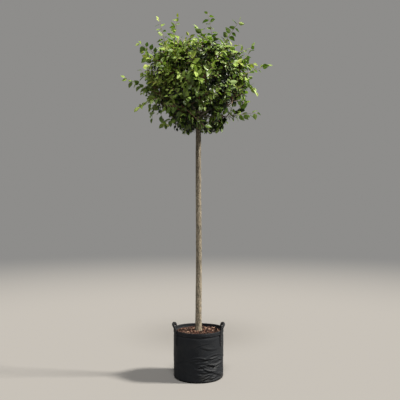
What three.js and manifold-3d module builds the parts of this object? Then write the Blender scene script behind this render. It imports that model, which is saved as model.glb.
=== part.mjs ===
// A standard lollipop tree in a fabric planter bag: a clear straight stem, a grafted head with
// short boughs, and a dense round crown that has put out a season's long shoots.
// Millimetres, +Z up, origin at the centre of the bag's flat underside.
import * as THREE from "three";
import { mergeVertices } from "three/addons/utils/BufferGeometryUtils.js";
import Module from "manifold-3d";

const wasm = await Module();
wasm.setup();

// ---- driving dimensions: lengths in millimetres, angles in radians unless a name says degrees ----
const SEAT_GAP = 0.3; // between pieces that touch
const FINENESS = 0.05; // smallest edge kept where solids are joined
const WELD = 0.001; // vertices closer than this are one

const bag = { radius: 200, height: 388, wall: 2, bulge: 1.5, foot: 16, facets: 32 };
const handle = {
  halfFacets: 2.5, // of the bag, from the loop's middle to the middle of its legs
  foot: 268, // height of the strap's sewn ends
  parting: 328, // where the strap starts to lean away from the bag
  shoulder: 366, // where the legs bend into the arch
  top: 430,
  width: 22,
  thickness: 2.6,
  lean: 7, // of the arch's top, away from the bag
  squareness: 0.8, // of the arch: 1 is an ellipse, and less is squarer
  steps: 20,
};
const compost = { top: 350 };
const mulch = { edge: 362, crest: 374 };
const chip = {
  count: 12,
  length: 44,
  width: 22,
  thickness: 7,
  smallest: 0.75,
  largest: 1.25,
  taper: 0.35,
  tip: 0.25, // most that a chip leans
  innermost: 0.25, // of the bag's radius
  outermost: 0.82,
};
const trunk = {
  foot: compost.top + SEAT_GAP,
  footRadius: 24.5,
  neckRadius: 20.5, // just under the graft
  flare: 8,
  flareHeight: 45,
  sway: 3,
  facets: 12,
};
const head = { z: 2085, radius: 33, halfHeight: 31, spread: 37 }; // the swollen graft
const crown = { x: -8, z: 2380, radius: 385, halfHeight: 360, squareness: 2.6 };
const bough = { share: 0.45, baseRadius: 6.6, tipRadius: 4.2, bow: 5, facets: 7, steps: 3 };
const mass = { count: 14, highest: 0.96, lowest: -0.86, turn: 0.6, clearance: 0.8 };
const stem = { end: 0.88, tipRadius: 2.4, facets: 6, steps: 4 }; // of a mass
const pad = { depth: 0.94, relief: 0.28, thickness: 8, widest: 0.66, roughness: 0.14, leafyFrom: 0.84 };
const twig = {
  count: 44,
  highest: 0.99,
  lowest: -0.96,
  shortest: 0.9, // of the way from the crown's middle to its surface
  longest: 1.03,
  firstOnStem: 0.12,
  lastOnStem: 0.92,
  alongStem: 0.45, // how far it sets out along the stem, not towards its own tip
  bend: 0.45,
  radius: 2.6,
  tipRadius: 1.6,
  facets: 3,
  steps: 3,
};
const shoot = {
  count: 18,
  turn: 1.9,
  shortest: 1.08,
  longest: 1.34,
  firstOnStem: 0.35,
  lastOnStem: 0.85,
  fromFrontPlane: 150, // the leading shoots lie nearer to it
  scatter: 0.15, // of the leading shoots, out of the front plane
  steps: 4,
};
const leafOnTwig = { length: 108, width: 64, spacing: 27, tilt: 0.95 };
const leafOnShoot = { length: 80, width: 44, spacing: 52, tilt: 0.8 };
const leafOnPad = { count: 73, highest: 0.97, lowest: -0.9, turn: 2.5, length: 112, width: 68, tilt: 1 };
const leaf = {
  widest: 0.42, // of its length from the root
  keel: 0.04, // depth under its middle, of its length
  outward: 0.8, // how its upper side faces
  upward: 0.55,
  smallest: 0.82,
  droop: 0.16,
  endPlace: 0.985, // of the end leaf along its twig
  endTilt: 0.25,
  endLength: 0.85,
  apart: 42, // between the middles of leaves
  offTrunk: 10,
};

// Long shoots in the plane of the front view: degrees above level on the right-hand side, counted
// on round over the top to the left, and how far the end leaf reaches from the crown's middle.
const LEADING_SHOOTS = [
  [-68, 470], [-29, 580], [-12, 520], [12, 617], [32, 552], [54, 616], [81, 566],
  [110, 530], [123, 595], [149, 577], [180, 612], [206, 566], [221, 513], [236, 474],
];

const FULL_TURN = 2 * Math.PI;
const GOLDEN_ANGLE = Math.PI * (3 - Math.sqrt(5));
const centre = new THREE.Vector3(crown.x, 0, crown.z);
const headPoint = new THREE.Vector3(0, 0, head.z);

// ---- helpers ----

// A repeatable number between two others, for the whole numbers of a thing and of its trait.
function chance(low, high, thing, trait) {
  const wave = Math.sin(7 + thing * 12.9898 + trait * 78.233) * 43758.5453;
  return low + (high - low) * (wave - Math.floor(wave));
}

function between(low, high, share) {
  return low + (high - low) * share;
}

function solidOf(geometry) {
  const bare = geometry.clone();
  bare.deleteAttribute("normal");
  bare.deleteAttribute("uv");
  const merged = mergeVertices(bare, WELD);
  return new wasm.Manifold(
    new wasm.Mesh({
      numProp: 3,
      vertProperties: new Float32Array(merged.attributes.position.array),
      triVerts: new Uint32Array(merged.index.array),
    }),
  );
}

function geometryOf(solid) {
  const { numProp, vertProperties, triVerts } = solid.getMesh();
  const positions = new Float32Array((vertProperties.length / numProp) * 3);
  for (let i = 0; i < positions.length / 3; i++)
    positions.set(vertProperties.subarray(i * numProp, i * numProp + 3), i * 3);
  const geometry = new THREE.BufferGeometry();
  geometry.setAttribute("position", new THREE.BufferAttribute(positions, 3));
  geometry.setIndex(new THREE.BufferAttribute(new Uint32Array(triVerts), 1));
  geometry.computeVertexNormals();
  return geometry;
}

// The largest body of a solid, with its vertices welded: loose scraps and sealed hollows are left
// behind.
function mainBody(solid) {
  const welded = solidOf(geometryOf(solid.simplify(FINENESS)));
  return welded.decompose().reduce((best, body) => (body.volume() > best.volume() ? body : best));
}

// Calls move(vertex) for each vertex of a geometry and stores what it leaves in the vertex.
function reshape(geometry, move) {
  const position = geometry.attributes.position;
  const vertex = new THREE.Vector3();
  for (let i = 0; i < position.count; i++) {
    move(vertex.fromBufferAttribute(position, i));
    position.setXYZ(i, vertex.x, vertex.y, vertex.z);
  }
  return geometry;
}

function cornersOf(geometry) {
  const corners = [];
  reshape(geometry, (vertex) => corners.push(vertex.clone()));
  return corners;
}

// Two unit vectors square to a direction and to each other.
function squareTo(direction) {
  const upright = Math.abs(direction.z) > 0.9;
  const reference = upright ? new THREE.Vector3(1, 0, 0) : new THREE.Vector3(0, 0, 1);
  const side = new THREE.Vector3().crossVectors(direction, reference).normalize();
  const other = new THREE.Vector3().crossVectors(direction, side).normalize();
  return [side, other];
}

// The direction square to a limb's curve at t that lies at a turn round it.
function spreadAt(curve, t, turn) {
  const [side] = squareTo(curve.getTangent(0.5));
  const tangent = curve.getTangent(t);
  const across = side.addScaledVector(tangent, -side.dot(tangent)).normalize();
  const up = new THREE.Vector3().crossVectors(tangent, across);
  return across.multiplyScalar(Math.sin(turn)).addScaledVector(up, Math.cos(turn));
}

// A tapering limb: a cylinder whose rings are carried along a curve.
function limb(curve, baseRadius, tipRadius, facets, steps) {
  return reshape(new THREE.CylinderGeometry(1, 1, 1, facets, steps), (v) => {
    const t = 0.5 - v.y;
    const radius = Math.hypot(v.x, v.z) * between(baseRadius, tipRadius, t);
    const spread = spreadAt(curve, t, Math.atan2(v.x, v.z));
    v.copy(curve.getPoint(t)).addScaledVector(spread, radius);
  });
}

function finish(color, roughness) {
  return new THREE.MeshStandardMaterial({ color, roughness, metalness: 0, flatShading: true });
}

// ---- bag, handles, compost and mulch ----

// The bag's outer radius at a height: full in the middle, drawn in at the foot by a round corner.
function bagRadius(z) {
  const belly = bag.bulge * Math.sin((Math.PI * z) / bag.height);
  const inFoot = Math.max(0, bag.foot - z);
  return bag.radius - bag.bulge + belly - (bag.foot - Math.sqrt(bag.foot ** 2 - inFoot ** 2));
}

// The bag's side from one height to another, moved inwards by an inset. Its corners lie at the same
// levels for any inset, so that one side fits inside another.
function bagSide(from, to, inset) {
  const foot = [0.15, 0.45, 1].map((share) => share * bag.foot);
  const belly = [0.25, 0.5, 0.75].map((share) => share * bag.height);
  const levels = [...foot, ...belly].filter((z) => z > from && z < to);
  return [from, ...levels, to].map((z) => new THREE.Vector2(bagRadius(z) - inset, z));
}

function uprightLathe(profile, facets) {
  return new THREE.LatheGeometry(profile, facets).rotateX(Math.PI / 2);
}

function bagGeometry() {
  const outer = bagSide(0, bag.height, 0);
  const inner = bagSide(bag.wall, bag.height, bag.wall).reverse();
  const [underside, floor] = [new THREE.Vector2(0, 0), new THREE.Vector2(0, bag.wall)];
  return uprightLathe([underside, ...outer, ...inner, floor], bag.facets);
}

function compostGeometry() {
  const inset = bag.wall + SEAT_GAP;
  const side = bagSide(inset, compost.top, inset);
  const [low, high] = [new THREE.Vector2(0, inset), new THREE.Vector2(0, compost.top)];
  return uprightLathe([low, ...side, high], bag.facets);
}

// Height of the mulch at a distance from the bag's middle: a low dome.
function mulchHeight(distance) {
  return between(mulch.crest, mulch.edge, (distance / bag.radius) ** 2);
}

function chipSolid(index) {
  const area = between(chip.innermost ** 2, chip.outermost ** 2, (index + 0.5) / chip.count);
  const distance = Math.sqrt(area) * bag.radius;
  const size = chance(chip.smallest, chip.largest, index, 1);
  const taper = chance(0, chip.taper, index, 2);
  const block = reshape(new THREE.BoxGeometry(chip.length, chip.width, chip.thickness), (v) => {
    v.y *= 1 - taper * (v.x / chip.length + 0.5);
    v.multiplyScalar(size);
  });
  block.rotateX(chance(-chip.tip, chip.tip, index, 3));
  block.rotateY(chance(-chip.tip, chip.tip, index, 4));
  block.rotateZ(chance(0, FULL_TURN, index, 5));
  block.translate(distance, 0, mulchHeight(distance));
  return solidOf(block.rotateZ(index * GOLDEN_ANGLE));
}

// A bed of mulch with a few chips proud of it, cut clear of the trunk.
function mulchSolid() {
  const floor = compost.top + SEAT_GAP;
  const outside = bagRadius(mulch.edge) - bag.wall - SEAT_GAP;
  const surface = [1, 0.8, 0.6, 0.35, 0].map((share) => share * outside);
  const profile = [
    new THREE.Vector2(0, floor),
    new THREE.Vector2(outside, floor),
    ...surface.map((distance) => new THREE.Vector2(distance, mulchHeight(distance))),
  ];
  const chips = Array.from({ length: chip.count }, (_, index) => chipSolid(index));
  const bed = wasm.Manifold.union([solidOf(uprightLathe(profile, bag.facets)), ...chips]);
  return mainBody(bed.subtract(grownTrunk));
}

// The middle line of a handle's strap, as a bearing from the loop's middle and a height: up one
// leg, over a rounded arch and down the other leg.
function strapLine(share) {
  const halfAngle = (handle.halfFacets * FULL_TURN) / bag.facets;
  const rise = handle.top - handle.width / 2 - handle.shoulder;
  const archLength = halfAngle * bag.radius + rise;
  const along = Math.abs(2 * share - 1) * (archLength + handle.shoulder - handle.foot);
  const side = Math.sign(share - 0.5);
  if (along > archLength) return [side * halfAngle, handle.shoulder - (along - archLength)];
  const sweep = ((along / archLength) * Math.PI) / 2;
  const across = Math.sin(sweep) ** handle.squareness;
  const up = Math.max(0, Math.cos(sweep)) ** handle.squareness;
  return [side * halfAngle * across, handle.shoulder + rise * up];
}

// A point of the strap's inner face. The legs lie flat against the flats of the bag's side.
function strapPoint(middle, share) {
  const [bearing, z] = strapLine(share);
  const lean = Math.max(0, z - handle.parting) / (handle.top - handle.parting);
  const flat = bagRadius(Math.min(z, bag.height)) * Math.cos(Math.PI / bag.facets);
  const radius = flat + SEAT_GAP + handle.lean * lean ** 2;
  return new THREE.Vector3(radius, 0, z).applyAxisAngle(new THREE.Vector3(0, 0, 1), middle + bearing);
}

// A strap carried along its line. middle is the bearing of the loop's middle.
function handleGeometry(middle) {
  const strap = new THREE.BoxGeometry(handle.width, 1, handle.thickness, 1, handle.steps, 1);
  const nearby = 0.1 / handle.steps;
  return reshape(strap, (v) => {
    const share = v.y + 0.5;
    const here = strapPoint(middle, share);
    const ahead = strapPoint(middle, Math.min(1, share + nearby));
    const along = ahead.sub(strapPoint(middle, Math.max(0, share - nearby))).normalize();
    const out = new THREE.Vector3(here.x, here.y, 0).normalize();
    out.addScaledVector(along, -out.dot(along)).normalize();
    const across = new THREE.Vector3().crossVectors(along, out);
    const [aside, proud] = [v.x, v.z + handle.thickness / 2];
    v.copy(here).addScaledVector(across, aside).addScaledVector(out, proud);
  });
}

// ---- trunk ----

// The stem's radius: a steady taper, a flare at the root and a round swelling at the graft.
function trunkRadius(z) {
  const taper = between(trunk.footRadius, trunk.neckRadius, (z - trunk.foot) / (head.z - trunk.foot));
  const flare = trunk.flare * Math.exp(-(z - trunk.foot) / trunk.flareHeight);
  const swelling = (head.radius - trunk.neckRadius) * Math.exp(-(((z - head.z) / head.spread) ** 2));
  const dome = Math.sqrt(1 - Math.max(0, (z - head.z) / head.halfHeight) ** 2.5);
  return (taper + flare + swelling) * dome;
}

// The stem's middle line, which sways a little and is true at the foot and at the graft.
function trunkMiddle(z) {
  const share = Math.min(1, (z - trunk.foot) / (head.z - trunk.foot));
  const sway = trunk.sway * Math.sin(Math.PI * share);
  return new THREE.Vector2(sway * Math.sin(5.2 * share), sway * Math.cos(4.1 * share + 1));
}

// Levels of the trunk's rings: close at the flare, wide apart on the clear stem and close again
// round the graft.
function trunkLevels() {
  const flare = [0, 0.2, 0.45, 0.9, 1.7].map((share) => trunk.foot + share * trunk.flareHeight);
  const graft = [-3.5, -2.4, -1.6, -0.9, -0.25, 0.3, 0.65, 0.9, 0.99];
  const [low, high] = [flare.at(-1), head.z + graft[0] * head.halfHeight];
  const clear = [1, 2, 3, 4, 5, 6, 7, 8].map((step) => between(low, high, step / 9));
  return [...flare, ...clear, ...graft.map((share) => head.z + share * head.halfHeight)];
}

// The trunk, or with grow the space that other pieces keep out of.
function trunkGeometry(grow) {
  const levels = trunkLevels();
  const [foot, top] = [levels[0] - grow, levels.at(-1) + grow];
  const side = levels.slice(1, -1).map((z) => new THREE.Vector2(trunkRadius(z) + grow, z));
  const profile = [
    new THREE.Vector2(0, foot),
    new THREE.Vector2(trunkRadius(levels[0]) + grow, foot),
    ...side,
    new THREE.Vector2(trunkRadius(levels.at(-1)) + grow, top),
    new THREE.Vector2(0, top),
  ];
  return reshape(uprightLathe(profile, trunk.facets), (v) => {
    const middle = trunkMiddle(v.z);
    v.set(v.x + middle.x, v.y + middle.y, v.z);
  });
}

const grownTrunk = solidOf(trunkGeometry(SEAT_GAP));

// ---- the crown's shape and how it is shared out ----

// A point of the crown, which is a ball a little squarer than round: height goes from 1 at the
// top to -1 at the bottom, and share from 0 at the middle to 1 at the surface.
function crownPoint(height, bearing, share) {
  const level = (1 - Math.abs(height) ** crown.squareness) ** (1 / crown.squareness) * crown.radius;
  const [x, y] = [level * Math.cos(bearing), level * Math.sin(bearing)];
  return new THREE.Vector3(x, y, height * crown.halfHeight).multiplyScalar(share).add(centre);
}

// Point number index of a count of them, spread evenly over the crown by the golden angle.
function spreadPoint(index, { count, highest, lowest, turn = 0 }, share) {
  const height = between(highest, lowest, (index + 0.5) / count);
  return crownPoint(height, index * GOLDEN_ANGLE + turn, share);
}

// The share of the way from the crown's middle to its surface at which a point lies.
function crownShare(point) {
  const level = Math.hypot(point.x - centre.x, point.y - centre.y) / crown.radius;
  const height = Math.abs(point.z - centre.z) / crown.halfHeight;
  return (level ** crown.squareness + height ** crown.squareness) ** (1 / crown.squareness);
}

// The distance from the graft to the crown's surface in a direction, by halving.
function distanceToSurface(direction) {
  let [near, far] = [0, 2 * crown.radius];
  for (let i = 0; i < 20; i++) {
    const middle = (near + far) / 2;
    const outside = crownShare(headPoint.clone().addScaledVector(direction, middle)) > 1;
    [near, far] = outside ? [near, middle] : [middle, far];
  }
  return near;
}

// The masses: each has its bough, its stem and its own cone of space, which opens from the graft
// and ends midway to the next masses.
const masses = Array.from({ length: mass.count }, (_, index) => {
  const surface = spreadPoint(index, mass, 1);
  const axis = surface.clone().sub(headPoint).normalize();
  const tip = headPoint.clone().lerp(surface, bough.share);
  const stemEnd = headPoint.clone().lerp(surface, stem.end);
  return { index, axis, tip, stemEnd, leaves: [], leafMiddles: [] };
});

// The mass whose cone a point lies in.
function ownerOf(point) {
  const away = point.clone().sub(headPoint);
  return masses.reduce((best, own) => (own.axis.dot(away) > best.axis.dot(away) ? own : best));
}

// The inward directions of the flat sides of a mass's cone.
function sidesOfCone(own) {
  return masses.filter((m) => m !== own).map((m) => own.axis.clone().sub(m.axis).normalize());
}

// How far inside a mass's cone a point lies.
function depthInCone(own, point) {
  const away = point.clone().sub(headPoint);
  return Math.min(...sidesOfCone(own).map((inward) => inward.dot(away)));
}

// How far the cone reaches across from its axis, one unit along it.
function reachInCone(own, across) {
  const reaches = sidesOfCone(own).map((inward) => -inward.dot(own.axis) / inward.dot(across));
  return Math.min(...reaches.filter((reach) => reach > 0));
}

// ---- boughs ----

// A limb's curve from start to end with a slight bow, along the straight line at both ends.
class BowedLine extends THREE.Curve {
  constructor(start, end, bow) {
    super();
    Object.assign(this, { start, end, bow });
  }
  getPoint(t, target = new THREE.Vector3()) {
    return target.copy(this.start).lerp(this.end, t).addScaledVector(this.bow, Math.sin(Math.PI * t) ** 2);
  }
}

// A bough starts inside the graft and is cut clear of it.
function boughSolid(own) {
  const [side] = squareTo(own.axis);
  const start = headPoint.clone().addScaledVector(own.axis, head.radius / 2);
  const line = new BowedLine(start, own.tip, side.multiplyScalar(bough.bow));
  const whole = limb(line, bough.baseRadius, bough.tipRadius, bough.facets, bough.steps);
  return mainBody(solidOf(whole).subtract(grownTrunk));
}

// ---- foliage ----

// A curve of equal straight steps through the points of a smooth one.
class SteppedCurve extends THREE.Curve {
  constructor(smooth, steps) {
    super();
    this.points = smooth.getPoints(steps);
  }
  getPoint(t, target = new THREE.Vector3()) {
    const at = t * (this.points.length - 1);
    const step = Math.min(Math.floor(at), this.points.length - 2);
    return target.copy(this.points[step]).lerp(this.points[step + 1], at - step);
  }
}

function twigTips() {
  return Array.from({ length: twig.count }, (_, i) =>
    spreadPoint(i, twig, chance(twig.shortest, twig.longest, i, 11)),
  );
}

function leadingShootTips() {
  return LEADING_SHOOTS.map(([degrees, reach], i) => {
    const angle = THREE.MathUtils.degToRad(degrees);
    const tip = new THREE.Vector3(Math.cos(angle), 0, Math.sin(angle));
    tip.multiplyScalar(reach - leaf.endLength * leafOnShoot.length);
    const turn = chance(-shoot.scatter, shoot.scatter, i, 12);
    return tip.applyAxisAngle(new THREE.Vector3(0, 0, 1), turn).add(centre);
  });
}

function otherShootTips() {
  const spread = { ...twig, count: shoot.count, turn: shoot.turn };
  const tips = Array.from({ length: shoot.count }, (_, i) =>
    spreadPoint(i, spread, chance(shoot.shortest, shoot.longest, i, 13)),
  );
  return tips.filter((tip) => Math.abs(tip.y) > shoot.fromFrontPlane);
}

// Every twig and long shoot of the crown, with its sizes, its leaves' sizes and its mass.
function allStalks() {
  const twigs = twigTips().map((tip) => ({ tip, sizes: twig, leaves: leafOnTwig }));
  const shootTips = [...leadingShootTips(), ...otherShootTips()];
  const shoots = shootTips.map((tip) => ({ tip, sizes: shoot, leaves: leafOnShoot }));
  return [...twigs, ...shoots].map((stalk, number) => ({ ...stalk, number, own: ownerOf(stalk.tip) }));
}

// A twig leaves its mass's stem partly along the stem and bends towards its own tip.
function stalkLine({ tip, sizes, number, own }) {
  const share = chance(sizes.firstOnStem, sizes.lastOnStem, number, 21);
  const start = own.tip.clone().lerp(own.stemEnd, share);
  const away = tip.clone().sub(start);
  const lead = away.clone().normalize().lerp(own.axis, twig.alongStem).normalize();
  const bend = start.clone().addScaledVector(lead, away.length() * twig.bend);
  return new SteppedCurve(new THREE.QuadraticBezierCurve3(start, bend, tip), sizes.steps);
}

// A leaf: a three-sided spindle pressed flat, with a point at its root and at its tip, a corner on
// either side, and a low keel under its middle.
function leafGeometry(root, direction, face, length, width) {
  const across = new THREE.Vector3().crossVectors(direction, face);
  const edge = Math.sin(FULL_TURN / 3);
  return reshape(new THREE.SphereGeometry(1, 3, 2), (v) => {
    const along = [0, leaf.widest, 1][Math.round(v.y) + 1] * length;
    const aside = (-v.z / edge) * (width / 2);
    const lift = Math.min(0, v.x) * leaf.keel * length;
    v.copy(root).addScaledVector(direction, along);
    v.addScaledVector(across, aside).addScaledVector(face, lift);
  });
}

// A leaf's direction, and the way its upper side faces: upwards and away from the crown's middle.
function leafSet(line, share, turn, tilt) {
  const direction = line.getTangent(share).multiplyScalar(Math.cos(tilt));
  direction.addScaledVector(spreadAt(line, share, turn), Math.sin(tilt));
  direction.z -= leaf.droop;
  direction.normalize();
  const face = line.getPoint(share).sub(centre).normalize().multiplyScalar(leaf.outward);
  face.z += leaf.upward;
  face.addScaledVector(direction, -face.dot(direction)).normalize();
  return [direction, face];
}

// True if every corner of a leaf is in its mass's cone and off the trunk.
function staysInSpace(corners, own) {
  return corners.every((corner) => {
    const offMiddle = new THREE.Vector2(corner.x, corner.y).distanceTo(trunkMiddle(corner.z));
    const beside = corner.z < head.z + 2 * head.halfHeight && offMiddle < head.radius + leaf.offTrunk;
    return !beside && depthInCone(own, corner) > mass.clearance;
  });
}

// Tries the sides of the twig in turn for leaf number i, and keeps the first that has room. A leaf
// comes out of the middle of a side, its root at the twig's centre.
function placeLeaf({ number, leaves, own }, line, i, share, tilt) {
  const point = line.getPoint(share);
  const size = chance(leaf.smallest, 1, number, 31 + i);
  const [length, width] = [leaves.length * size, leaves.width * size];
  for (let attempt = 0; attempt < twig.facets; attempt++) {
    const turn = ((i + attempt + 0.5) / twig.facets) * FULL_TURN;
    const [direction, face] = leafSet(line, share, turn, tilt);
    const blade = leafGeometry(point, direction, face, length, width);
    const middle = point.clone().addScaledVector(direction, length / 2);
    const crowded = own.leafMiddles.some((other) => other.distanceTo(middle) < leaf.apart);
    if (crowded || !staysInSpace(cornersOf(blade), own)) continue;
    own.leafMiddles.push(middle);
    own.leaves.push(solidOf(blade));
    return;
  }
}

// True if a point lies beyond the deep part of its mass's pad, seen from the graft.
function beyondPad(point) {
  const away = point.clone().sub(headPoint);
  const distance = away.length();
  return distance > distanceToSurface(away.normalize()) * pad.leafyFrom;
}

// Leaves stand alternately along a twig, from its tip, where one points on, back to the pad.
function addLeaves(stalk, line) {
  const spacing = stalk.leaves.spacing / line.getLength();
  for (let i = 0; i * spacing < leaf.endPlace; i++) {
    const share = leaf.endPlace - i * spacing;
    if (!beyondPad(line.getPoint(share))) return;
    placeLeaf(stalk, line, i, share, i ? stalk.leaves.tilt : leaf.endTilt);
  }
}

// Leaves of the short inner twigs that a pad stands for, with their roots in the pad.
function addPadLeaves() {
  for (let i = 0; i < leafOnPad.count; i++) {
    const surface = spreadPoint(i, leafOnPad, 1);
    const stalk = { number: i, leaves: leafOnPad, own: ownerOf(surface) };
    placeLeaf(stalk, new THREE.LineCurve3(headPoint, surface), i, pad.leafyFrom, leafOnPad.tilt);
  }
}

function twigSolid(stalk) {
  const line = stalkLine(stalk);
  addLeaves(stalk, line);
  return solidOf(limb(line, twig.radius, twig.tipRadius, twig.facets, stalk.sizes.steps));
}

// The stem of a mass goes on from its bough's tip.
function stemSolid(own) {
  const start = own.tip.clone().addScaledVector(own.axis, SEAT_GAP);
  const line = new THREE.LineCurve3(start, own.stemEnd);
  return solidOf(limb(line, bough.tipRadius, stem.tipRadius, stem.facets, stem.steps));
}

// A mass's close inner growth: a crumpled pad that follows the crown's surface a little below it
// and fills the mass's cone. It is a pressed ball of a few faces.
function padSolid(own) {
  const [side, other] = squareTo(own.axis);
  const ball = new THREE.IcosahedronGeometry(1, 1);
  const crumpled = reshape(ball, (v) => {
    const spread = Math.hypot(v.x, v.y);
    const across = side.clone().multiplyScalar(v.x).addScaledVector(other, v.y).normalize();
    const place = Math.round(9 * v.x + 31 * v.y);
    const rough = chance(1 - pad.roughness, 1, place, 70 + own.index);
    const depth = chance(pad.depth - pad.relief, pad.depth, place, 90 + own.index);
    const reach = spread > WELD ? Math.min(pad.widest, reachInCone(own, across)) * spread * rough : 0;
    const direction = own.axis.clone().addScaledVector(across, reach).normalize();
    const proud = Math.sign(v.z) * Math.sqrt(Math.abs(v.z)) * pad.thickness;
    v.copy(headPoint).addScaledVector(direction, distanceToSurface(direction) * depth + proud);
  });
  return solidOf(crumpled).subtract(grownTrunk);
}

function foliageSolid(own, stalks) {
  const twigs = stalks.filter((stalk) => stalk.own === own).map(twigSolid);
  return mainBody(wasm.Manifold.union([stemSolid(own), padSolid(own), ...twigs, ...own.leaves]));
}

// ---- assembly ----

const BLACK_FABRIC = finish(0x1c1d1f, 0.6);
const COMPOST = finish(0x2b2019, 0.95);
const BARK_CHIPS = finish(0x6e4a38, 0.9);
const BARK = finish(0x6f6a55, 0.85);
const FOLIAGE = finish(0x4a6427, 0.55);

const tree = new THREE.Group();

function add(name, geometry, material) {
  const piece = new THREE.Mesh(geometry, material);
  piece.name = name;
  tree.add(piece);
}

add("planter_bag", bagGeometry(), BLACK_FABRIC);
add("handle_right", handleGeometry(0), BLACK_FABRIC);
add("handle_left", handleGeometry(Math.PI), BLACK_FABRIC);
add("compost", compostGeometry(), COMPOST);
add("bark_mulch", geometryOf(mulchSolid()), BARK_CHIPS);
add("trunk", trunkGeometry(0), BARK);

const stalks = allStalks();
addPadLeaves();
masses.forEach((own) => {
  const number = String(own.index + 1).padStart(2, "0");
  add("bough_" + number, geometryOf(boughSolid(own)), BARK);
  add("foliage_" + number, geometryOf(foliageSolid(own, stalks)), FOLIAGE);
});

export default tree;
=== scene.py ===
"""A standard lollipop tree in a planter bag, dressed round its solid model.

The bag, its straps and its stitching, the bark mulch, the stem and boughs with their bark, the
twigs and the leaves are surfaces worked out with numpy. The twigs and leaves grow on from the
limbs of the solid model by the same rule that made its masses, carried on to finer twigs.
"""

import math

import bpy
import numpy as np
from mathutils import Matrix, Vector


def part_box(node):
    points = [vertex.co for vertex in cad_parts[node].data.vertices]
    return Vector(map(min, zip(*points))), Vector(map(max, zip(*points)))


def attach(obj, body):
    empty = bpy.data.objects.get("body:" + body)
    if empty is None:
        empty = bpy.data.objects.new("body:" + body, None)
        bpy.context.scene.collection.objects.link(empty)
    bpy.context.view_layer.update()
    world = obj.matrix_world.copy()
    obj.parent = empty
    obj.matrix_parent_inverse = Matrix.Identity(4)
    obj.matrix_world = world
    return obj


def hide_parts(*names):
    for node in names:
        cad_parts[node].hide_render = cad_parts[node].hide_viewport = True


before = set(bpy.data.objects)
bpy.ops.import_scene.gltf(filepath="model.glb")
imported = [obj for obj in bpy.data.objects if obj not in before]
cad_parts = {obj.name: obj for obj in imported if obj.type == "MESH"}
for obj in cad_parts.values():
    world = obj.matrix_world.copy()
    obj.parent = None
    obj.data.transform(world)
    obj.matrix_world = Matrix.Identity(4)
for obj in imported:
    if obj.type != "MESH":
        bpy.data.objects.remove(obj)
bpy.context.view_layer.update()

bl_info = {
    "name": "Planter Tree Dresser",
    "version": (1, 0, 0),
    "blender": (4, 5, 0),
    "location": "View3D > Sidebar > Planter Tree",
    "description": "Dresses the solid model of a standard tree in a planter bag",
    "category": "Object",
}

BODY = "root"
MASS_COUNT = sum(name.startswith("foliage_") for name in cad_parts)
BOUGH_NODES = [f"bough_{number:02d}" for number in range(1, MASS_COUNT + 1)]
FOLIAGE_NODES = [f"foliage_{number:02d}" for number in range(1, MASS_COUNT + 1)]

FULL_TURN = 2 * math.pi
GOLDEN_ANGLE = math.pi * (3 - math.sqrt(5))
UP = np.array([0.0, 0.0, 1.0])

# ---- places taken from the solid model, in metres ----

BAG_LOW, BAG_HIGH = (np.array(corner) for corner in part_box("planter_bag"))
TRUNK_LOW, TRUNK_HIGH = (np.array(corner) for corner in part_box("trunk"))
STRAP_LOW, STRAP_HIGH = (np.array(corner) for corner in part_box("handle_right"))

BAG_RADIUS = (BAG_HIGH[0] - BAG_LOW[0]) / 2
BAG_HEIGHT = BAG_HIGH[2]
SOIL_TOP = TRUNK_LOW[2]
GRAFT_DOME = 0.031
GRAFT_HEIGHT = TRUNK_HIGH[2] - GRAFT_DOME
GRAFT = np.array([0.0, 0.0, GRAFT_HEIGHT])

# ---- sizes that the growth rule of the solid model goes by, in metres ----

CROWN_MIDDLE = np.array([-0.008, 0.0, GRAFT_HEIGHT + 0.295])
CROWN_RADIUS = 0.385
CROWN_HALF_HEIGHT = 0.360
CROWN_SQUARENESS = 2.6
BOUGH_SHARE = 0.45
STEM_SHARE = 0.88
BOUGH_RADII = (0.0066, 0.0042)
BOUGH_BOW = 0.005
STEM_TIP_RADIUS = 0.0024
ALONG_STEM = 0.45
BEND = 0.45
TWIG_SPREAD = {"count": 44, "highest": 0.99, "lowest": -0.96}
SHOOT_SPREAD = {"count": 18, "highest": 0.99, "lowest": -0.96, "turn": 1.9}
MASS_SPREAD = {"count": MASS_COUNT, "highest": 0.96, "lowest": -0.86, "turn": 0.6}
END_LEAF = 0.034
LEADING_ZONE = 0.15  # how far to the front and back the other shoots leave free

# Long shoots to the right, over the top and to the left: degrees above level on the right-hand
# side, counted on round over the top, and how far the end leaf reaches from the crown's middle.
LEADING_SHOOTS = np.array([
    (-68, 0.470), (-29, 0.580), (-12, 0.520), (12, 0.617), (32, 0.552), (54, 0.616),
    (81, 0.566), (110, 0.530), (123, 0.595), (149, 0.577), (180, 0.612), (206, 0.566),
    (221, 0.513), (236, 0.474),
])


# ---- settings that a user would change ----


def metres(name, description, default):
    """A size that the panel shows with its unit."""
    return bpy.props.FloatProperty(
        name=name, description=description, default=default, min=0.0, unit="LENGTH")


def amount(name, description, default, least=1):
    """A whole number that the panel shows."""
    return bpy.props.IntProperty(name=name, description=description, default=default, min=least)


def plain_number(name, description, default):
    """A plain number that the panel shows."""
    return bpy.props.FloatProperty(name=name, description=description, default=default, min=0.0)


def colour_field(name, description, default):
    """A colour that the panel shows."""
    return bpy.props.FloatVectorProperty(
        name=name, description=description, default=default, subtype="COLOR", size=3)


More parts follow.
